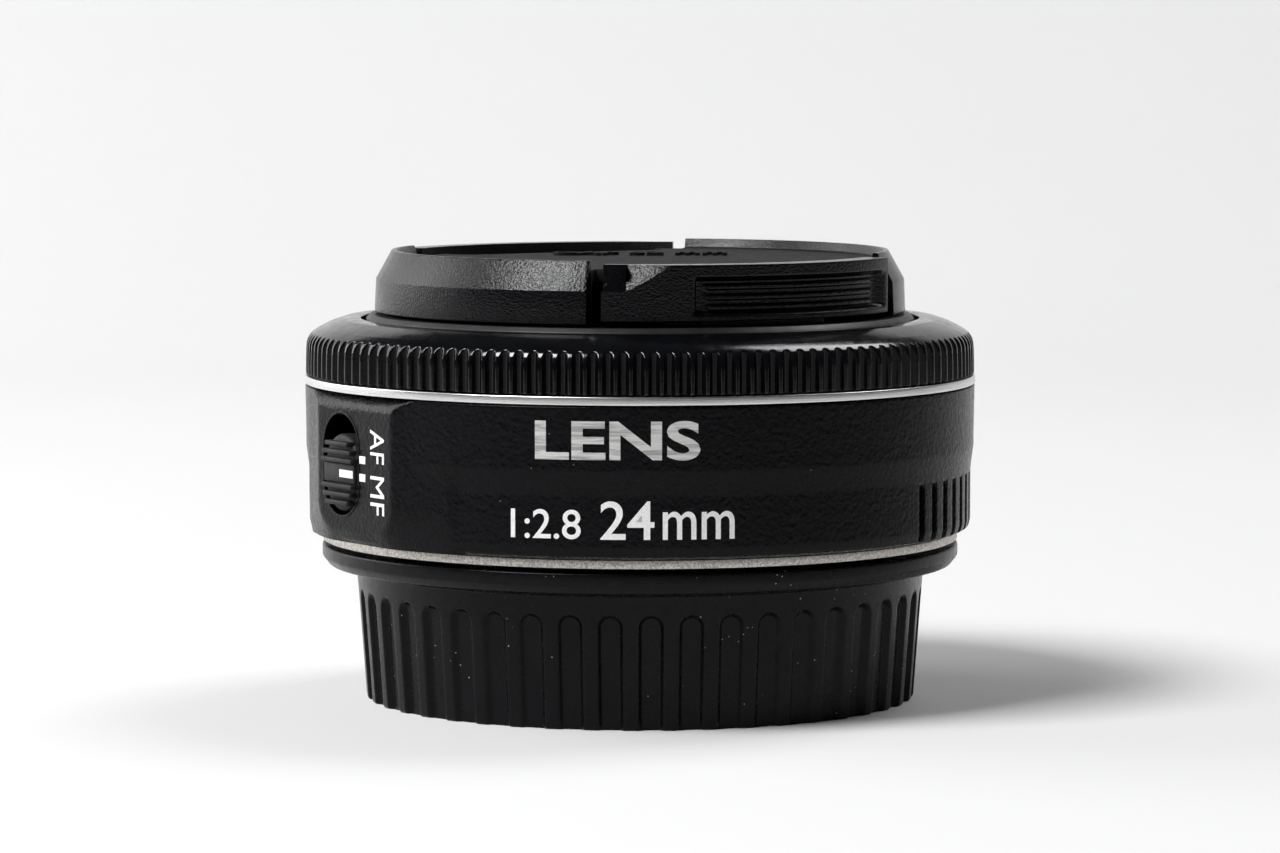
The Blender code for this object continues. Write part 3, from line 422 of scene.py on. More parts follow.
class Surface:
    """A Principled material whose colour, roughness and relief are built up from textures."""

    def __init__(self, name, colour, roughness, metallic=0.0, specular=0.5):
        self.material = bpy.data.materials.new(name)
        self.material.use_nodes = True
        self.tree = self.material.node_tree
        self.shader = self.tree.nodes["Principled BSDF"]
        self.shader.inputs["Base Color"].default_value = (*colour, 1.0)
        self.shader.inputs["Roughness"].default_value = roughness
        self.shader.inputs["Metallic"].default_value = metallic
        self.shader.inputs["Specular IOR Level"].default_value = specular
        self.base = colour
        self.relief = None
        self.coords = self.tree.nodes.new("ShaderNodeTexCoord").outputs["Object"]

    def node(self, kind, links=(), **values):
        """A new node, with each socket linked to a texture or set to a value."""
        made = self.tree.nodes.new(kind)
        for key, value in values.items():
            setattr(made, key, value)
        for socket, source in dict(links).items():
            if hasattr(source, "is_linked"):
                self.tree.links.new(source, made.inputs[socket])
            else:
                made.inputs[socket].default_value = source
        return made

    def stretched(self, scale):
        """The object's own coordinates, scaled along X, Y and Z."""
        return self.node("ShaderNodeMapping", {"Vector": self.coords, "Scale": scale}).outputs[0]

    def noise(self, size, detail=3.0, roughness=0.6, coords=None, distortion=0.0):
        """Noise whose blotches are about this many millimetres across."""
        links = {
            "Vector": self.coords if coords is None else coords,
            "Scale": 1.0 / (size * MM) if coords is None else 1.0,
            "Detail": detail,
            "Roughness": roughness,
            "Distortion": distortion,
        }
        return self.node("ShaderNodeTexNoise", links).outputs["Fac"]

    def cells(self, size, feature="F1"):
        """Distances in cells that are about this many millimetres across."""
        links = {"Vector": self.coords, "Scale": 1.0 / (size * MM)}
        return self.node("ShaderNodeTexVoronoi", links, feature=feature).outputs["Distance"]

    def ramp(self, source, low, high, to_low=0.0, to_high=1.0):
        """Spreads the part of a texture between low and high over the range given."""
        links = {
            "Value": source,
            "From Min": low,
            "From Max": high,
            "To Min": to_low,
            "To Max": to_high,
        }
        return self.node("ShaderNodeMapRange", links).outputs[0]

    def math(self, operation, a, b=0.5):
        return self.node("ShaderNodeMath", {0: a, 1: b}, operation=operation).outputs[0]

    def colour_by(self, source, colour):
        """Turns the surface this colour where the texture is high."""
        factor, first, second, result = 0, 6, 7, 2
        current = self.shader.inputs["Base Color"]
        before = current.links[0].from_socket if current.is_linked else current.default_value
        links = {factor: source, first: before, second: (*colour, 1.0)}
        mix = self.node("ShaderNodeMix", links, data_type="RGBA")
        self.tree.links.new(mix.outputs[result], current)
        return self

    def mottle(self, size, amount):
        """Varies the colour between darker and lighter blotches."""
        dark = tuple(c * (1 - amount) for c in self.base)
        light = tuple(min(1.0, c * (1 + amount)) for c in self.base)
        self.shader.inputs["Base Color"].default_value = (*dark, 1.0)
        return self.colour_by(self.ramp(self.noise(size), 0.35, 0.65), light)

    def roughness_by(self, source, low, high):
        """Spreads the roughness between two values by a texture."""
        value = self.ramp(source, 0.3, 0.7, low, high)
        self.tree.links.new(value, self.shader.inputs["Roughness"])
        return self

    def bump(self, source, height, strength=1.0):
        """Raises the surface by this many millimetres where the texture is high."""
        links = {"Height": source, "Strength": strength, "Distance": height * MM}
        made = self.node("ShaderNodeBump", links)
        if self.relief is not None:
            self.tree.links.new(self.relief, made.inputs["Normal"])
        self.relief = made.outputs["Normal"]
        self.tree.links.new(self.relief, self.shader.inputs["Normal"])
        return self

    def specks(self, size, share, colour, threshold=0.07):
        """Dust: one pale grain in the middle of some of the cells."""
        near = self.cells(size)
        grain = self.ramp(near, threshold, threshold * 0.6)
        where = self.ramp(self.noise(size * 6.0, 1.0), 1.0 - share, 1.0 - share + 0.02)
        return self.colour_by(self.math("MULTIPLY", grain, where), colour)


def satin_plastic(name, colour, roughness, grain, height, mottle=0.25, dust=0.0, specular=0.4):
    """Moulded plastic with a grain this many millimetres across and high."""
    surface = Surface(name, colour, roughness, 0.0, specular)
    surface.mottle(3.0, mottle)
    surface.roughness_by(surface.noise(1.4), roughness - 0.05, roughness + 0.07)
    surface.bump(surface.noise(grain, 2.0), height)
    if dust:
        surface.specks(0.9, dust, (0.5, 0.5, 0.48), 0.085)
    return surface.material


def cap_plastic(name, colour, roughness, grain, height, specular):
    """The front cap's sparkling grain, which is dull over the sunken middle."""
    surface = Surface(name, colour, roughness, 0.0, specular)
    surface.mottle(3.0, 0.25)
    surface.bump(surface.noise(grain, 2.0), height)
    place = surface.node("ShaderNodeSeparateXYZ", {0: surface.coords}).outputs
    squares = [surface.math("MULTIPLY", place[axis], place[axis]) for axis in ("X", "Y")]
    radius = surface.math("SQRT", surface.math("ADD", *squares))
    dull = surface.ramp(radius, (CAP_BORE_R - 0.1) * MM, (CAP_BORE_R + 0.1) * MM, 0.5, 0.0)
    worn = surface.ramp(surface.noise(1.4), 0.3, 0.7, roughness - 0.05, roughness + 0.07)
    surface.tree.links.new(surface.math("ADD", dull, worn), surface.shader.inputs["Roughness"])
    return surface.material


def leather_grain(name, colour, roughness):
    """Moulded plastic with a fine pebbled grain."""
    surface = Surface(name, colour, roughness, 0.0, 0.16)
    surface.mottle(1.1, 0.3)
    pebbles = surface.cells(0.42, "SMOOTH_F1")
    surface.bump(pebbles, 0.035)
    surface.bump(surface.noise(0.7, 3.0, 0.7), 0.05)
    surface.roughness_by(surface.noise(0.5), roughness - 0.06, roughness + 0.10)
    surface.specks(1.3, 0.42, (0.30, 0.30, 0.29), 0.05)
    return surface.material


def turned_metal(name, colour, roughness, line, height=0.006):
    """Metal with the fine circular lines of a lathe tool."""
    surface = Surface(name, colour, roughness, 1.0)
    lines = surface.noise(1.0, 4.0, 0.7, surface.stretched((90.0, 90.0, 1.0 / (line * MM))))
    surface.bump(lines, height)
    surface.roughness_by(lines, roughness - 0.08, roughness + 0.12)
    surface.colour_by(surface.ramp(lines, 0.45, 0.75), tuple(c * 0.62 for c in colour))
    return surface.material


def blasted_metal(name, colour, roughness, grain):
    """Bead-blasted metal: a dense field of tiny light and dark dents."""
    surface = Surface(name, colour, roughness, 1.0)
    dents = surface.noise(grain, 2.0, 0.7)
    surface.bump(dents, 0.02)
    surface.colour_by(surface.ramp(dents, 0.42, 0.62), tuple(c * 0.55 for c in colour))
    surface.roughness_by(surface.noise(grain * 2), roughness - 0.08, roughness + 0.1)
    return surface.material


def smooth_metal(name, colour, roughness):
    surface = Surface(name, colour, roughness, 1.0)
    surface.mottle(1.2, 0.12)
    surface.bump(surface.noise(0.12), 0.004)
    surface.roughness_by(surface.noise(0.8), roughness - 0.06, roughness + 0.08)
    return surface.material


def printed_ink(name, colour):
    surface = Surface(name, colour, 0.5)
    surface.mottle(0.25, 0.07)
    surface.bump(surface.noise(0.1), 0.008)
    surface.roughness_by(surface.noise(0.3), 0.42, 0.6)
    return surface.material


def brushed_foil(name, colour):
    """A silver foil print, brushed across in slightly wavy lines."""
    surface = Surface(name, colour, 0.32, 0.75)
    coords = surface.stretched((160.0, 160.0, 2600.0))
    lines = surface.noise(1.0, 3.0, 0.6, coords, 0.6)
    surface.colour_by(surface.ramp(lines, 0.42, 0.6), tuple(c * 0.55 for c in colour))
    surface.roughness_by(lines, 0.25, 0.5)
    surface.bump(lines, 0.01)
    return surface.material


def coated_glass(name, tint):
    """Multi-coated glass: clear, with a coloured reflection that strengthens towards the edge."""
    surface = Surface(name, (0.93, 0.95, 0.97), 0.02)
    surface.shader.inputs["Transmission Weight"].default_value = 0.94
    surface.shader.inputs["IOR"].default_value = 1.6
    surface.shader.inputs["Specular Tint"].default_value = (*tint, 1.0)
    surface.shader.inputs["Coat Weight"].default_value = 0.5
    surface.shader.inputs["Coat Roughness"].default_value = 0.02
    surface.shader.inputs["Coat Tint"].default_value = (*tint, 1.0)
    surface.roughness_by(surface.noise(2.0), 0.01, 0.04)
    return surface.material


def circuit_board(name):
    surface = Surface(name, (0.015, 0.13, 0.05), 0.45)
    tracks = surface.cells(0.8, "DISTANCE_TO_EDGE")
    surface.colour_by(surface.ramp(tracks, 0.08, 0.05), (0.04, 0.26, 0.10))
    surface.bump(tracks, 0.02)
    surface.roughness_by(surface.noise(0.6), 0.35, 0.55)
    return surface.material


BLACK = (0.0022, 0.0024, 0.0034)
CAP_BLACK = (0.003, 0.0032, 0.0042)
LOOKS = {
    "cap_plastic": satin_plastic(
        "cap_plastic_satin", CAP_BLACK, 0.27, 0.2, 0.012, mottle=0.2, dust=0.47, specular=0.18
    ),
    "front_cap_plastic": cap_plastic("front_cap_sparkle", BLACK, 0.17, 0.24, 0.07, 0.3),
    "bright_mount": blasted_metal("mount_blasted_metal", (0.66, 0.63, 0.59), 0.42, 0.22),
    "screw_steel": turned_metal("screw_turned_steel", (0.55, 0.55, 0.55), 0.3, 0.06),
    "white_mark": printed_ink("white_ink", (0.83, 0.83, 0.82)),
    "baffle_black": satin_plastic("flocked_black", (0.004, 0.004, 0.004), 0.85, 0.25, 0.06, 0.4),
    "contact_gold": smooth_metal("contact_gold_plate", (0.86, 0.62, 0.25), 0.26),
    "flex_amber": satin_plastic("flex_film", (0.42, 0.21, 0.05), 0.4, 0.4, 0.01, 0.15),
    "barrel_black": leather_grain("barrel_leather_grain", BLACK, 0.25),
    "trim_silver": turned_metal("trim_turned_silver", (0.78, 0.78, 0.77), 0.27, 0.05),
    "ring_black": satin_plastic(
        "focus_ring_satin", BLACK, 0.15, 0.3, 0.004, mottle=0.3, dust=0.30, specular=0.5
    ),
    "inner_black": satin_plastic("inner_matt_black", (0.014, 0.014, 0.015), 0.55, 0.22, 0.02, 0.25),
    "gear_plastic": satin_plastic("gear_acetal", (0.78, 0.75, 0.66), 0.42, 0.3, 0.01, 0.06),
    "brass": smooth_metal("machined_brass", (0.72, 0.52, 0.22), 0.28),
    "motor_steel": smooth_metal("motor_can_steel", (0.56, 0.56, 0.57), 0.3),
    "board_green": circuit_board("solder_mask"),
    "front_black": satin_plastic(
        "front_barrel_satin", (0.016, 0.016, 0.0175), 0.40, 0.25, 0.012, 0.2
    ),
    "coated_glass": coated_glass("coated_glass_green", (0.55, 1.0, 0.75)),
    "blade_black": satin_plastic("blade_lacquer", (0.02, 0.02, 0.021), 0.38, 0.3, 0.006, 0.2),
    "washer_steel": smooth_metal("washer_stamped_steel", (0.5, 0.5, 0.5), 0.34),
    "spring_steel": smooth_metal("spring_drawn_wire", (0.62, 0.62, 0.60), 0.24),
    "brushed_word": brushed_foil("brushed_silver_foil", (0.86, 0.86, 0.84)),
}


def dress(obj, body, look, replaces=()):
    """Gives a new piece its material, its body and the CAD nodes that it stands for."""
    obj.data.materials.clear()
    obj.data.materials.append(LOOKS[look])
    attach(obj, body)
    if replaces:
        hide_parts(*replaces)
    return obj


# ---- Rear cap ----


def flute_azimuths():
    """Columns of the rear cap's mesh, closest together across each flute."""
    across = np.concatenate([np.arange(-1.4, 1.41, 0.1), [1.65, 1.95, -1.65]])
    offsets = np.degrees(across / REAR_CAP_WALL)
    return np.sort((FLUTE_PHASE + even(FLUTES)[:, None] + offsets[None, :]).ravel())


def flute_reach(azimuth, r, z):
    """Sinks the flutes, with their full-round tops, into the cap's tapered wall."""
    step = 360.0 / FLUTES
    offset = (azimuth - FLUTE_PHASE + step / 2) % step - step / 2
    across = np.radians(offset) * REAR_CAP_WALL
    centre = FLUTE_TOP - FLUTE_HALF
    above = np.maximum(z - centre, 0.0)
    outside = np.hypot(across, above) - FLUTE_HALF
    floor = FLUTE_FLOOR + CAP_TAPER * z
    share = smooth((FLUTE_EDGE - outside) / (2 * FLUTE_EDGE))
    return r - share * np.maximum(r - floor, 0.0)


def make_rear_cap():
    foot, top = REAR_CAP.foot, REAR_CAP.top
    flange = REAR_CAP.radius
    wall = [(27.95, foot, 0.35)]
    wall += [(28.84, foot + 12.2), (28.88, foot + 13.2, 0.25), (31.7, foot + 13.75, 0.5)]
    outline = [
        (0.0, foot),
        (26.4, foot),
        *wall,
        (flange, foot + 14.6, 0.6),
        (flange, top, 0.22),
        (27.25, top, 0.2),
        (27.25, foot + 9.6),
        (25.8, foot + 9.2),
        (25.8, foot + 2.2, 0.8),
        (0.0, foot + 2.2),
    ]
    # The flutes' round ends need rows as close together as the columns.
    fine = refined(refined(rounded(outline, 4), 1.4), 0.1, foot + 9.7, foot + 11.6, 27.9)
    shell = sweep("rear_cap_shell", fine, flute_azimuths(), flute_reach, 50.0)
    lugs = [
        bevelled(sector("lug", 25.9, 27.45, azimuth, 37.0, 12.95, 14.4), 0.2)
        for azimuth in LUG_AZIMUTHS
    ]
    shell = joined("rear_cap_shell", [shell, *lugs])
    return dress(shade(shell, 50.0), "rear_cap", "cap_plastic", replaces=["rear_cap"])


# ---- Mount ----


def make_mount():
    rim = MOUNT.radius
    face = 16.25
    outline = [
        (23.6, MOUNT.foot, 0.25),
        (25.4, MOUNT.foot, 0.3),
        (25.4, face, 0.15),
        (rim, face, 0.14),
        (rim, 17.14, 0.1),
        (31.6, 17.14),
        (31.6, MOUNT.top),
        (23.6, MOUNT.top),
    ]
    ring = sweep("lens_mount", rounded(outline, 3), 240)
    tabs = [
        sector("tab", 25.2, 26.9, azimuth + 60.0, 54.0, MOUNT.foot, 12.6)
        for azimuth in LUG_AZIMUTHS
    ]
    carve(ring, "UNION", *tabs)
    for number in (1, 2, 3, 4):
        screw = Extent(f"mount_screw_{number}")
        centre = (screw.low + screw.high) / 2
        for radius, low, high in ((1.75, 16.0, 17.3), (0.95, 17.2, 18.5)):
            circle = [
                (centre.x + radius * math.cos(a), centre.y + radius * math.sin(a))
                for a in np.radians(even(28))
            ]
            carve(ring, "DIFFERENCE", prism("hole", circle, low, high))
    mark = Extent("mount_index_mark")
    centre = (mark.low + mark.high) / 2
    azimuth = math.degrees(math.atan2(centre.x, -centre.y))
    distance = math.hypot(centre.x, centre.y)
    pocket = on_azimuth(box_outline((-0.95, distance - 0.95), (0.95, distance + 0.95)), azimuth)
    carve(ring, "DIFFERENCE", prism("pocket", pocket, 16.0, 16.85))
    bevelled(ring, 0.06)
    return dress(ring, "barrel", "bright_mount", replaces=["mount_ring"])


# ---- Barrel ----


def pad_drop(across, z):
    """How far the switch pad has fallen below its face at a point of it."""
    side = np.maximum(np.abs(across) - (PAD_HALF - PAD_CORNER), 0.0)
    down = np.maximum(PAD_FOOT + PAD_CORNER - z, 0.0)
    outside = np.maximum(np.hypot(side, down) - PAD_CORNER, -1.0)
    flank = PAD_SLOPE * soft_max(outside, 0.0 * outside, 0.35)
    rise = np.clip(z - PAD_BROW, 0.0, PAD_BROW_R * 0.98)
    brow = PAD_BROW_R - np.sqrt(PAD_BROW_R**2 - rise**2)
    return soft_max(flank, brow, 0.12)


def barrel_reach(azimuth, r, z):
    """Blends the switch pad into the barrel's outer wall and cuts the grip flutes at its side."""
    outer = r > WALL_R + 0.5
    turn = np.radians((azimuth - PAD_AZIMUTH + 180.0) % 360.0 - 180.0)
    near = np.abs(turn) < math.radians(24.0)
    safe = np.where(near, turn, 0.0)
    radius = np.broadcast_to(r, np.broadcast_shapes(azimuth.shape, r.shape)).copy()
    for _ in range(6):
        across = radius * np.sin(safe)
        radius = (PAD_FACE - pad_drop(across, z)) / np.cos(safe)
    on_face = (np.abs(r * np.sin(safe)) < 9.0) & (z > PAD_FOOT + 1.0)
    low_face = (np.abs(r * np.sin(safe)) < PAD_HALF) & (z > PAD_FOOT)
    blended = np.where(on_face | low_face, radius, soft_max(radius, r + 0 * radius, 0.25))
    result = np.where(outer & near, blended, r + 0 * radius)
    step = GRIP_PITCH
    side = azimuth - GRIP_AZIMUTH
    number = np.clip(np.round(side / step), -GRIP_HALF_COUNT, GRIP_HALF_COUNT)
    offset = np.radians(side - number * step) * r
    edge = 0.07
    inside = smooth((GRIP_HALF + edge - np.abs(offset)) / (2 * edge))
    end = smooth((GRIP_TOP - z) / 0.55)
    cut = inside * end * np.maximum(r - GRIP_FLOOR, 0.0)
    return result - np.where(outer, cut, 0.0)


def barrel_azimuths():
    """Columns of the barrel's mesh, closest together at the switch pad and the grip flutes."""
    pad = PAD_AZIMUTH + np.degrees(np.arcsin(np.arange(-12.6, 12.61, 0.2) / 34.0))
    half = (GRIP_HALF_COUNT + 0.5) * GRIP_PITCH
    across = np.array([-0.95, -0.6, -0.56, -0.5, -0.44, -0.2, 0.2, 0.44, 0.5, 0.56, 0.6, 0.95])
    grips = []
    for k in range(-GRIP_HALF_COUNT, GRIP_HALF_COUNT + 1):
        grips.append(GRIP_AZIMUTH + k * GRIP_PITCH + np.degrees(across / 33.7))
    between = np.arange(pad[-1] + 1.0, GRIP_AZIMUTH - half, 1.2)
    behind = np.arange(GRIP_AZIMUTH + half + 0.6, pad[0] + 360.0 - 0.5, 1.5)
    return np.concatenate([pad, between, *grips, behind])


def make_barrel():
    foot, rim, top = BARREL.foot, BARREL.radius, 31.98
    outer = [(32.75, foot, 0.2), (33.5, foot + 0.32, 0.5), (LOWER_R, foot + 1.1)]
    outer += [(LOWER_R, 23.4), (33.76, 24.2), (33.9, 25.2), (33.98, 25.8), (33.99, 27.5)]
    outline = [
        (31.9, foot),
        *outer,
        (rim, top, 0.12),
        (SLEEVE_R, top),
        (SLEEVE_R, BARREL.top, 0.1),
        (30.4, BARREL.top, 0.1),
        (30.4, 31.4),
        (WALL_R, 30.0),
        (WALL_R, 19.9),
        (27.6, 19.9),
        (27.6, 18.5),
        (31.9, 18.5),
    ]
    fine = refined(rounded(outline, 4), 0.2, foot, top, 33.0)
    shell = sweep("barrel_shell", fine, barrel_azimuths(), barrel_reach, 50.0)
    slot = plate("slot", pill(SLOT_CENTRE, SLOT_SIZE), PAD_AZIMUTH, 29.0, 36.0)
    carve(shell, "DIFFERENCE", slot)
    shade(shell, 50.0)
    return dress(shell, "barrel", "barrel_black", replaces=["outer_barrel"])


def make_slot_lip():
    """The narrow moulded lip round the switch's slot."""
    outer = pill(SLOT_CENTRE, [side + 0.5 for side in SLOT_SIZE])
    inner = pill(SLOT_CENTRE, SLOT_SIZE)
    count = len(outer)
    points = []
    for outline, depth in ((outer, 33.7), (outer, 33.84), (inner, 33.84), (inner, 32.2)):
        points += [tangent_point(PAD_AZIMUTH, a, depth, z) for a, z in outline]
    faces = []
    for row in range(4):
        a, b = row * count, (row + 1) % 4 * count
        for k in range(count):
            j = (k + 1) % count
            faces.append((a + k, a + j, b + j, b + k))
    lip = bevelled(mesh_object("switch_slot_lip", points, faces), 0.05)
    return dress(lip, "barrel", "barrel_black")


def make_trim_band():
    outline = [
        (31.7, TRIM.foot),
        (TRIM.radius, TRIM.foot, 0.1),
        (TRIM.radius, TRIM.top, 0.16),
        (31.7, TRIM.top),
    ]
    band = sweep("trim_band", rounded(outline, 4), 288)
    return dress(band, "barrel", "trim_silver", replaces=["trim_ring"])


# ---- Focus ring ----


def tooth_azimuths():
    across = np.array([0.0, 0.15, 0.25, 0.34, 0.43, 0.51, 0.58, 0.66])
    across = np.concatenate([-across[:0:-1], across])
    offsets = np.degrees(across / TEETH_R)
    return np.sort((GROOVE_PHASE + even(TEETH)[:, None] + offsets[None, :]).ravel())


def tooth_reach(azimuth, r, z):
    """Sinks the ring's U-shaped grooves, which run out in an arch on the rounded shoulder."""
    step = 360.0 / TEETH
    offset = (azimuth - GROOVE_PHASE + step / 2) % step - step / 2
    wall = np.abs(np.radians(offset)) * TEETH_R / GROOVE_HALF
    groove = GROOVE_FLOOR + (RING.radius - GROOVE_FLOOR) * wall**2.6
    return np.where(r > 32.9, soft_min(r + 0 * groove, groove, 0.06), r)


def make_focus_ring():
    foot, top = RING.foot, RING.top
    shoulder = [(33.99, 34.4), (33.96, 35.5), (33.91, 36.2), (33.79, 36.65), (33.54, 37.05)]
    shoulder += [(33.3, 37.27), (33.0, 37.48), (32.47, 37.78, 0.3)]
    outline = [
        (31.6, foot),
        (RING.radius - 0.02, foot, 0.12),
        *shoulder,
        (31.5, 38.24),
        (30.3, top - 0.06, 0.3),
        (29.6, top),
        (28.4, top, 0.12),
        (28.4, 37.7, 0.1),
        (31.6, 37.5),
    ]
    fine = refined(rounded(outline, 4), 0.16, foot, 37.6, 32.9)
    ring = sweep("focus_ring_grip", fine, tooth_azimuths(), tooth_reach, 60.0)
    return dress(ring, "focus_ring", "ring_black", replaces=["focus_ring"])


# ---- Front barrel and the glass behind the cap ----


def thread_reach(azimuth, r, z):
    """Cuts a thread into the bore of the filter rim."""
    start, end = THREAD_SPAN
    phase = (z / THREAD_PITCH - azimuth / 360.0) % 1.0
    wave = np.abs(2 * phase - 1) * THREAD_DEPTH
    fade = smooth((z - start + 0.6) / 0.5) * smooth((end - z) / 0.3)
    on_bore = np.abs(r - THREAD_R) < 0.01
    return r + np.where(on_bore, wave * fade, 0.0)


def make_front_barrel():
    top = FRONT.top
    outline = [
        (27.0, FRONT.foot),
        (FRONT.radius, FRONT.foot, 0.15),
        (FRONT.radius, top - 0.5, 0.4),
        (27.4, top, 0.15),
        (26.1, top, 0.1),
        (THREAD_R, top - 0.3),
        (THREAD_R, 35.4),
        (14.2, 35.4),
        (14.2, 34.6),
        (27.0, 34.6),
    ]
    fine = refined(rounded(outline, 3), 0.07, 35.5, top - 0.3, 25.8)
    barrel = sweep("filter_barrel", fine, 180, thread_reach, 60.0)
    return dress(barrel, "front_barrel", "front_black", replaces=["front_barrel"])


def make_name_plate():
    """The stepped light trap between the filter thread and the front element."""
    inner, outer = 13.5, 25.4
    low, high = NAME.foot + 0.6, NAME.top - 0.15
    steps = 9
    outline = [(10.45, NAME.foot), (outer, NAME.foot)]
    for k in range(steps):
        r0 = outer + (inner - outer) * k / steps
        r1 = outer + (inner - outer) * (k + 1) / steps
        z = low + (high - low) * k / steps
        outline += [(r0, z), (r1 + 0.25, z + 0.02)]
    outline += [(inner, high), (10.9, NAME.top), (10.45, NAME.top - 0.35)]
    plate_ring = sweep("name_plate", outline, 144)
    return dress(plate_ring, "front_barrel", "front_black", replaces=["name_ring"])


def make_glass(node, name, edge, sag):
    """A truly curved element: the heights of its edge, and how far its middle rises over each."""
    radius = Extent(node).radius
    shares = np.linspace(0.0, 1.0, 15)
    outline = [(radius * s, edge[0] + sag[0] * (1 - s * s)) for s in shares]
    outline += [(radius * s, edge[1] + sag[1] * (1 - s * s)) for s in shares[::-1]]
    glass = sweep(name, outline, 96)
    return dress(glass, "front_barrel", "coated_glass", replaces=[node])


# ---- Mode switch ----


def make_mode_knob():
    centre, z0 = KNOB_CENTRE
    body = plate("body", pill(KNOB_CENTRE, KNOB_SIZE), PAD_AZIMUTH, 31.3, KNOB_FACE - 0.35)
    pieces = [bevelled(body, 0.5, 3)]
    flange = box_outline((centre - 3.9, z0 - 3.0), (centre + 3.9, z0 + 3.0))
    pieces.append(plate("flange", flange, PAD_AZIMUTH, 30.4, 31.35))
    middle = box_outline((centre - 2.95, z0 - 0.95), (centre + 2.95, z0 + 0.95))
    pieces.append(bevelled(plate("middle", middle, PAD_AZIMUTH, 33.5, KNOB_FACE - 0.12), 0.12))
    for side in (-1, 1):
        for k in range(3):
            z = z0 + side * (1.28 + 0.82 * k)
            half = 2.95 - (0.0, 0.25, 0.75)[k]
            rib = box_outline((centre - half, z - 0.24), (centre + half, z + 0.24))
            rib = plate("rib", rib, PAD_AZIMUTH, 33.4, KNOB_FACE + 0.28)
            pieces.append(bevelled(rib, 0.16, 3))
    knob = joined("mode_knob", pieces)
    return dress(knob, "af_mf_switch", "inner_black", replaces=["af_mf_switch"])


# ---- Lettering ----


def flat_text(text, bold):
    """The outline of some letters as a flat mesh, with its lower left corner at the origin."""
    curve = bpy.data.curves.new("letters", "FONT")
    curve.body = text
    curve.offset = bold
    curve.resolution_u = 6
    obj = placed("letters", curve)
    graph = bpy.context.evaluated_depsgraph_get()
    mesh = bpy.data.meshes.new_from_object(obj.evaluated_get(graph))
    bpy.data.objects.remove(obj)
    low = Vector([min(v.co[i] for v in mesh.vertices) for i in range(3)])
    high = Vector([max(v.co[i] for v in mesh.vertices) for i in range(3)])
    return mesh, low, high


def lettering(name, text, size, place, thickness=0.05, bold=0.0):
    """Raised letters fitted to a width and height, each point put by place(across, up, out)."""
    mesh, low, high = flat_text(text, bold)
    shape = bmesh.new()
    shape.from_mesh(mesh)
    bmesh.ops.remove_doubles(shape, verts=shape.verts, dist=1e-5)
    bmesh.ops.triangulate(shape, faces=shape.faces[:], ngon_method="EAR_CLIP")
    for vertex in shape.verts:
        vertex.co.x = (vertex.co.x - low.x) / (high.x - low.x) * size[0]
        vertex.co.y = (vertex.co.y - low.y) / (high.y - low.y) * size[1]
    # Long faces would cut through the curved barrel, so the letters are sliced first.
    slice_width = 0.5
    for k in range(1, math.ceil(size[0] / slice_width)):
        geometry = shape.verts[:] + shape.edges[:] + shape.faces[:]
        bmesh.ops.bisect_plane(
            shape, geom=geometry, plane_co=(k * slice_width, 0, 0), plane_no=(1, 0, 0)
        )
    grown = bmesh.ops.extrude_face_region(shape, geom=shape.faces[:])
    raised = {e for e in grown["geom"] if isinstance(e, bmesh.types.BMVert)}
    for vertex in shape.verts:
        out = thickness if vertex in raised else -0.03
        vertex.co = Vector(place(vertex.co.x, vertex.co.y, out)) * MM
    bmesh.ops.recalc_face_normals(shape, faces=shape.faces)
    made = bpy.data.meshes.new(name)
    shape.to_mesh(made)
    shape.free()
    return shade(placed(name, made), 30.0)


def on_barrel(radius, start, foot):
    """Places letters round the barrel, reading towards greater azimuths."""
    return lambda a, u, out: polar(radius + out, start + math.degrees(a / radius), foot + u)


def on_pad(across, high):
    """Places letters on the switch pad, turned so that they read downwards."""
    return lambda a, u, out: tangent_point(PAD_AZIMUTH, across + u, PAD_FACE + out, high - a)


def make_lettering():
    """The barrel's word and numerals, the switch's labels and marks, and the knob's own mark."""
    place = on_barrel(UPPER_R, -17.2, 26.88)
    word = lettering("barrel_word", "LENS", (16.0, 3.8), place, bold=0.026)
    dress(word, "barrel", "brushed_word")
    foot = 19.25
    line = [
        lettering("f", "1:2.8", (7.0, 2.85), on_barrel(LOWER_R, -21.6, foot), bold=0.006),
        lettering("d", "24", (5.2, 3.7), on_barrel(LOWER_R, -6.5, foot), bold=0.008),
        lettering("u", "mm", (7.0, 2.7), on_barrel(LOWER_R, 3.7, foot), bold=0.006),
    ]
    dress(joined("barrel_numerals", line), "barrel", "white_mark")
    labels = [
        lettering("af", "AF", (3.3, 2.6), on_pad(3.25, 28.85), 0.04),
        lettering("mf", "MF", (3.8, 2.6), on_pad(3.25, 24.3), 0.04),
    ]
    for z in (25.72, 23.97):
        mark = box_outline((1.12, z - 0.38), (2.25, z + 0.38))
        labels.append(bevelled(plate("mark", mark, PAD_AZIMUTH, 33.7, 33.845), 0.02))
    dress(joined("switch_labels", labels), "barrel", "white_mark")
    pointer = box_outline((KNOB_CENTRE[0] + 0.15, 23.8), (KNOB_CENTRE[0] + 2.75, 24.55))
    pointer = plate("mode_knob_mark", pointer, PAD_AZIMUTH, 34.0, KNOB_FACE - 0.09)
    dress(pointer, "af_mf_switch", "white_mark")


# ---- Front cap ----


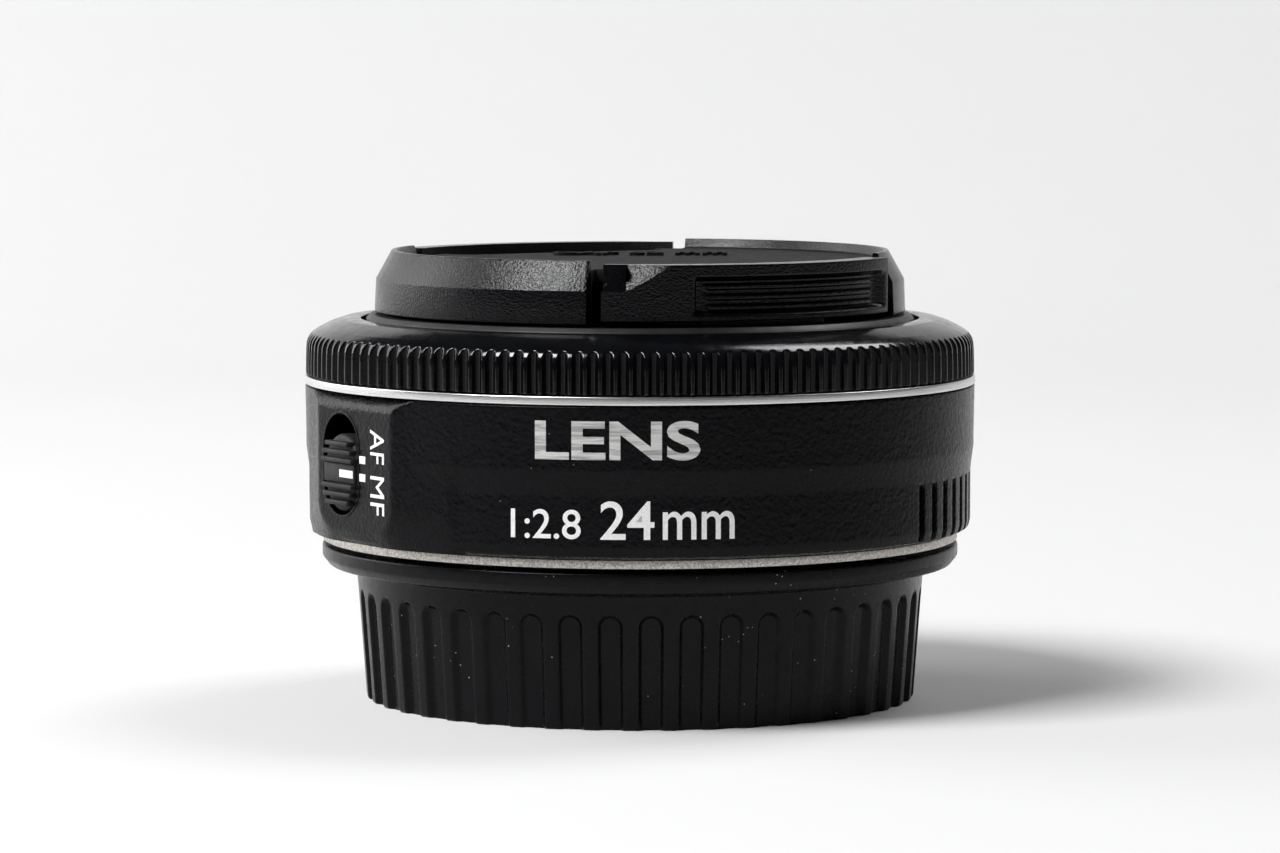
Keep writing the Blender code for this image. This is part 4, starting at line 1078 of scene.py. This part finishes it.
def make_front_cap():
    low = 43.4
    outline = [
        (0.0, low),
        (24.0, low),
        (24.0, CAP.foot),
        (27.0, CAP.foot, 0.12),
        (26.85, CHAMFER_Z, 0.1),
        (25.25, CAP.top, 0.14),
        (24.8, CAP.top, 0.1),
        (CAP_BORE_R, PLATE_TOP, 0.25),
        (0.0, PLATE_TOP),
    ]
    cap = sweep("front_cap_body", rounded(outline, 3), 240)
    for azimuth in LEVER_AZIMUTHS:
        window = sector("window", 22.6, 30.0, azimuth, WINDOW_SPAN, 38.0, 47.0, 60)
        pocket = [(-12.5, 17.0), (-11.0, 15.5), (11.0, 15.5), (12.5, 17.0), (12.5, 23.5)]
        pocket = prism("pocket", on_azimuth([*pocket, (-12.5, 23.5)], azimuth), 42.0, 47.0)
        carve(cap, "DIFFERENCE", window, pocket)
    bevelled(cap, 0.12)
    rib = on_azimuth(box_outline((-4.0, -2.9), (4.0, 2.9)), LEVER_AZIMUTHS[0])
    cap = joined("front_cap_body", [cap, prism("rib", rib, CAP.foot + 1.2, 44.0)])
    level(shade(cap, 40.0))
    dress(cap, "front_cap", "front_cap_plastic", replaces=["front_cap"])
    emboss = lettering(
        "cap_size_mark",
        "CAP 52 mm",
        (18.0, 3.0),
        lambda a, u, out: (a - 9.0, u + 6.0, PLATE_TOP + out),
        thickness=0.3,
        bold=0.02,
    )
    dress(emboss, "front_cap", "front_cap_plastic")


def scoop_reach(azimuth):
    """Hollows the outside of a lever for a fingertip, with three ribs left across the hollow."""

    def reach(turn, r, z):
        along = (turn - azimuth + 180.0) % 360.0 - 180.0
        ends = smooth((along + 18.3) / 1.0) * smooth((37.0 - along) / 5.0)
        tall = smooth((z - 40.2) / 0.5) * smooth((44.1 - z) / 0.6)
        rib_ends = smooth((along + 15.8) / 1.5) * smooth((32.5 - along) / 3.0)
        nearest = np.min([np.abs(z - middle) for middle in LEVER_RIBS], axis=0)
        ribs = smooth((0.3 - nearest) / 0.16) * 0.5 * rib_ends
        depth = (SCOOP_DEPTH - ribs) * ends * tall
        return r - np.where(r > 26.0, depth, 0.0)

    return reach


def end_facet(azimuth):
    """The wedge that turns a lever's upright wall into the cap's chamfer at its leading end."""
    left, right = azimuth - 32.4, azimuth - 23.1
    foot = polar(LEVER_R, left, CHAMFER_Z)
    slope = polar(25.4, left, LEVER.top)
    tip = polar(LEVER_R, right, LEVER.top)
    away = polar(6.0, azimuth - 28.0)
    points = [foot, slope, tip]
    middle = [sum(p[i] for p in points) / 3 for i in range(3)]
    near = [[m + 6.0 * (p - m) for p, m in zip(point, middle)] for point in points]
    far = [(x + away[0], y + away[1], z + 2.0) for x, y, z in near]
    faces = [(0, 1, 2), (5, 4, 3), (0, 3, 4, 1), (1, 4, 5, 2), (2, 5, 3, 0)]
    return mesh_object("facet", near + far, faces)


def make_lever(letter, azimuth):
    """A pinch lever: its ribbed outside, its slider in the cap, its claw and its spring seat."""
    node = f"cap_lever_{letter}"
    foot, top = LEVER_FOOT, LEVER.top
    outline = [(24.4, foot), (LEVER_R, foot, 0.15), (LEVER_R, top, 0.15), (24.4, top)]
    fine = refined(rounded(outline), 0.1, foot, top, 26.0)
    turns = np.concatenate([np.arange(-39.0, 39.1, 0.5), np.arange(45.0, 316.0, 10.0)])
    lever = sweep("lever", fine, azimuth + turns, scoop_reach(azimuth), 40.0)
    carve(lever, "INTERSECT", sector("end", 20.0, 30.0, azimuth, LEVER_SPAN, 38.0, 47.0, 80))
    notch = sector("notch", 25.35, 30.0, azimuth - 36.0, 7.2, CHAMFER_Z, 47.0)
    facet = end_facet(azimuth)
    carve(facet, "INTERSECT", sector("side", 20.0, 33.0, azimuth - 24.4, 16.0, 41.0, 47.0))
    carve(lever, "DIFFERENCE", notch, facet)
    bevelled(lever, 0.08)
    reach = math.degrees(math.asin(SLIDER_HALF / SLIDER_R))
    slider = on_azimuth([(-SLIDER_HALF, 9.5), (SLIDER_HALF, 9.5)], azimuth)
    slider += arc(SLIDER_R, azimuth + reach, azimuth - reach, 24)
    claw = bevelled(sided_sector("claw", 24.2, 25.4, azimuth, 7.0, LEVER.foot, 40.3), 0.15)
    seat = on_azimuth(box_outline((-2.0, 9.8), (2.0, 10.9)), azimuth)
    pieces = [lever, prism("slider", slider, 40.7, 41.7), claw, prism("seat", seat, 41.2, 43.1)]
    for start in (17.2, 18.9, 20.6):
        grip = on_azimuth(box_outline((-8.0, start), (8.0, start + 0.7)), azimuth)
        pieces.append(bevelled(prism("grip", grip, 41.5, 42.3), 0.1))
    whole = level(shade(joined(f"pinch_lever_{letter}", pieces), 40.0))
    dress(whole, node, "front_cap_plastic", replaces=[node])


def make_spring(letter, azimuth):
    """A coil spring that lies along its lever's azimuth."""
    start, end = 3.2, 9.2
    wire, coil, height, turns = 0.2, 1.15, 41.8, 6
    steps, corners = turns * 24, 8
    points = []
    for k in range(steps + 1):
        angle = 2 * math.pi * turns * k / steps
        along = start + wire + (end - start - 2 * wire) * k / steps
        for i in range(corners):
            around = 2 * math.pi * i / corners
            radius = coil + wire * math.cos(around)
            outward = along + wire * math.sin(around)
            z = height + radius * math.sin(angle)
            points.append(tangent_point(azimuth, radius * math.cos(angle), outward, z))
    last = steps * corners
    faces = [tuple(range(corners)), tuple(last + corners - 1 - i for i in range(corners))]
    for k in range(steps):
        for i in range(corners):
            j = (i + 1) % corners
            a, b = k * corners, (k + 1) * corners
            faces.append((a + i, b + i, b + j, a + j))
    spring = mesh_object(f"return_spring_{letter}", points, faces)
    dress(spring, "front_cap", "spring_steel", replaces=[f"cap_spring_{letter}"])
    outward = polar(1.0, azimuth)
    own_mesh(spring)


# ---- Studio ----


def make_studio():
    """A pale seamless sheet, a soft key from the upper left, a rim light, a fill and the camera."""
    profile = [(SHEET_FRONT, 0.0), (SHEET_BACK - SHEET_BEND, 0.0)]
    for k in range(1, 13):
        angle = math.radians(90.0 * k / 12)
        rise = SHEET_BEND - SHEET_BEND * math.cos(angle)
        profile.append((SHEET_BACK - SHEET_BEND + SHEET_BEND * math.sin(angle), rise))
    profile.append((SHEET_BACK, SHEET_HEIGHT))
    points = []
    for y, z in profile:
        points += [(-SHEET_HALF_WIDTH, y, z), (SHEET_HALF_WIDTH, y, z)]
    faces = [(2 * k, 2 * k + 1, 2 * k + 3, 2 * k + 2) for k in range(len(profile) - 1)]
    mesh = bpy.data.meshes.new("studio_sweep")
    mesh.from_pydata(points, [], faces)
    sheet = placed("studio_sweep", mesh)
    mesh.shade_smooth()
    paper = Surface("studio_paper", (SHEET_GREY,) * 3, 0.9, 0.0, 0.1)
    paper.mottle(400.0, 0.01)
    depth = paper.node("ShaderNodeSeparateXYZ", {0: paper.coords}).outputs["Y"]
    # Painted shade: the sheet's colour darkens well in front of the lens, so that its reflection
    # doesn't grey the black parts.
    paper.colour_by(paper.ramp(depth, PAINTED_SHADE_START, PAINTED_SHADE_END), (PAINTED_SHADE_GREY,) * 3)
    mesh.materials.append(paper.material)

    for name, (distance, azimuth, height, side, power) in LIGHTS.items():
        add_light(name, polar(distance, azimuth, height), side, power)

    world = bpy.data.worlds.new("studio_air")
    world.use_nodes = True
    air = world.node_tree.nodes["Background"].inputs
    air["Color"].default_value = AIR_COLOUR
    air["Strength"].default_value = AIR_STRENGTH
    bpy.context.scene.world = world
    bpy.context.scene.view_settings.view_transform = "Standard"
    bpy.context.scene.view_settings.gamma = 0.92

    camera = placed("camera", bpy.data.cameras.new("camera"))
    camera.data.lens = CAMERA_LENS
    camera.data.sensor_width = 36.0
    camera.data.clip_start = 0.01
    camera.location = CAMERA_PLACE
    camera.rotation_euler = (math.radians(90.0 - CAMERA_DIP), 0.0, 0.0)
    bpy.context.scene.camera = camera


def add_light(name, place, side, power):
    """A square lamp that points at the lens."""
    lamp = bpy.data.lights.new(name, "AREA")
    lamp.shape = "SQUARE"
    lamp.size = side
    lamp.energy = power
    obj = placed(name, lamp)
    obj.location = place
    aim = Vector(LIGHT_TARGET) - Vector(place)
    obj.rotation_euler = aim.to_track_quat("-Z", "Y").to_euler()


def dress_cad_nodes():
    """Gives every CAD node that still shows the textured material of its own slot."""
    slots = {part["node"]: part["material_slot"] for part in frame["record"]["subparts"]}
    for name, obj in frame["nodes"].items():
        if obj.hide_render:
            continue
        obj.data.materials.clear()
        obj.data.materials.append(LOOKS[slots[name]])


def main():
    make_rear_cap()
    make_mount()
    make_barrel()
    make_slot_lip()
    make_trim_band()
    make_focus_ring()
    make_front_barrel()
    make_name_plate()
    make_glass("lens_element_1", "front_glass", edge=(34.4, 35.4), sag=(1.4, 1.7))
    make_glass("lens_element_6", "rear_glass", edge=(16.9, 18.0), sag=(-0.8, 0.7))
    make_mode_knob()
    make_lettering()
    make_front_cap()
    for letter, azimuth in zip("ab", LEVER_AZIMUTHS):
        make_lever(letter, azimuth)
        make_spring(letter, azimuth)
    dress_cad_nodes()
    make_studio()


main()
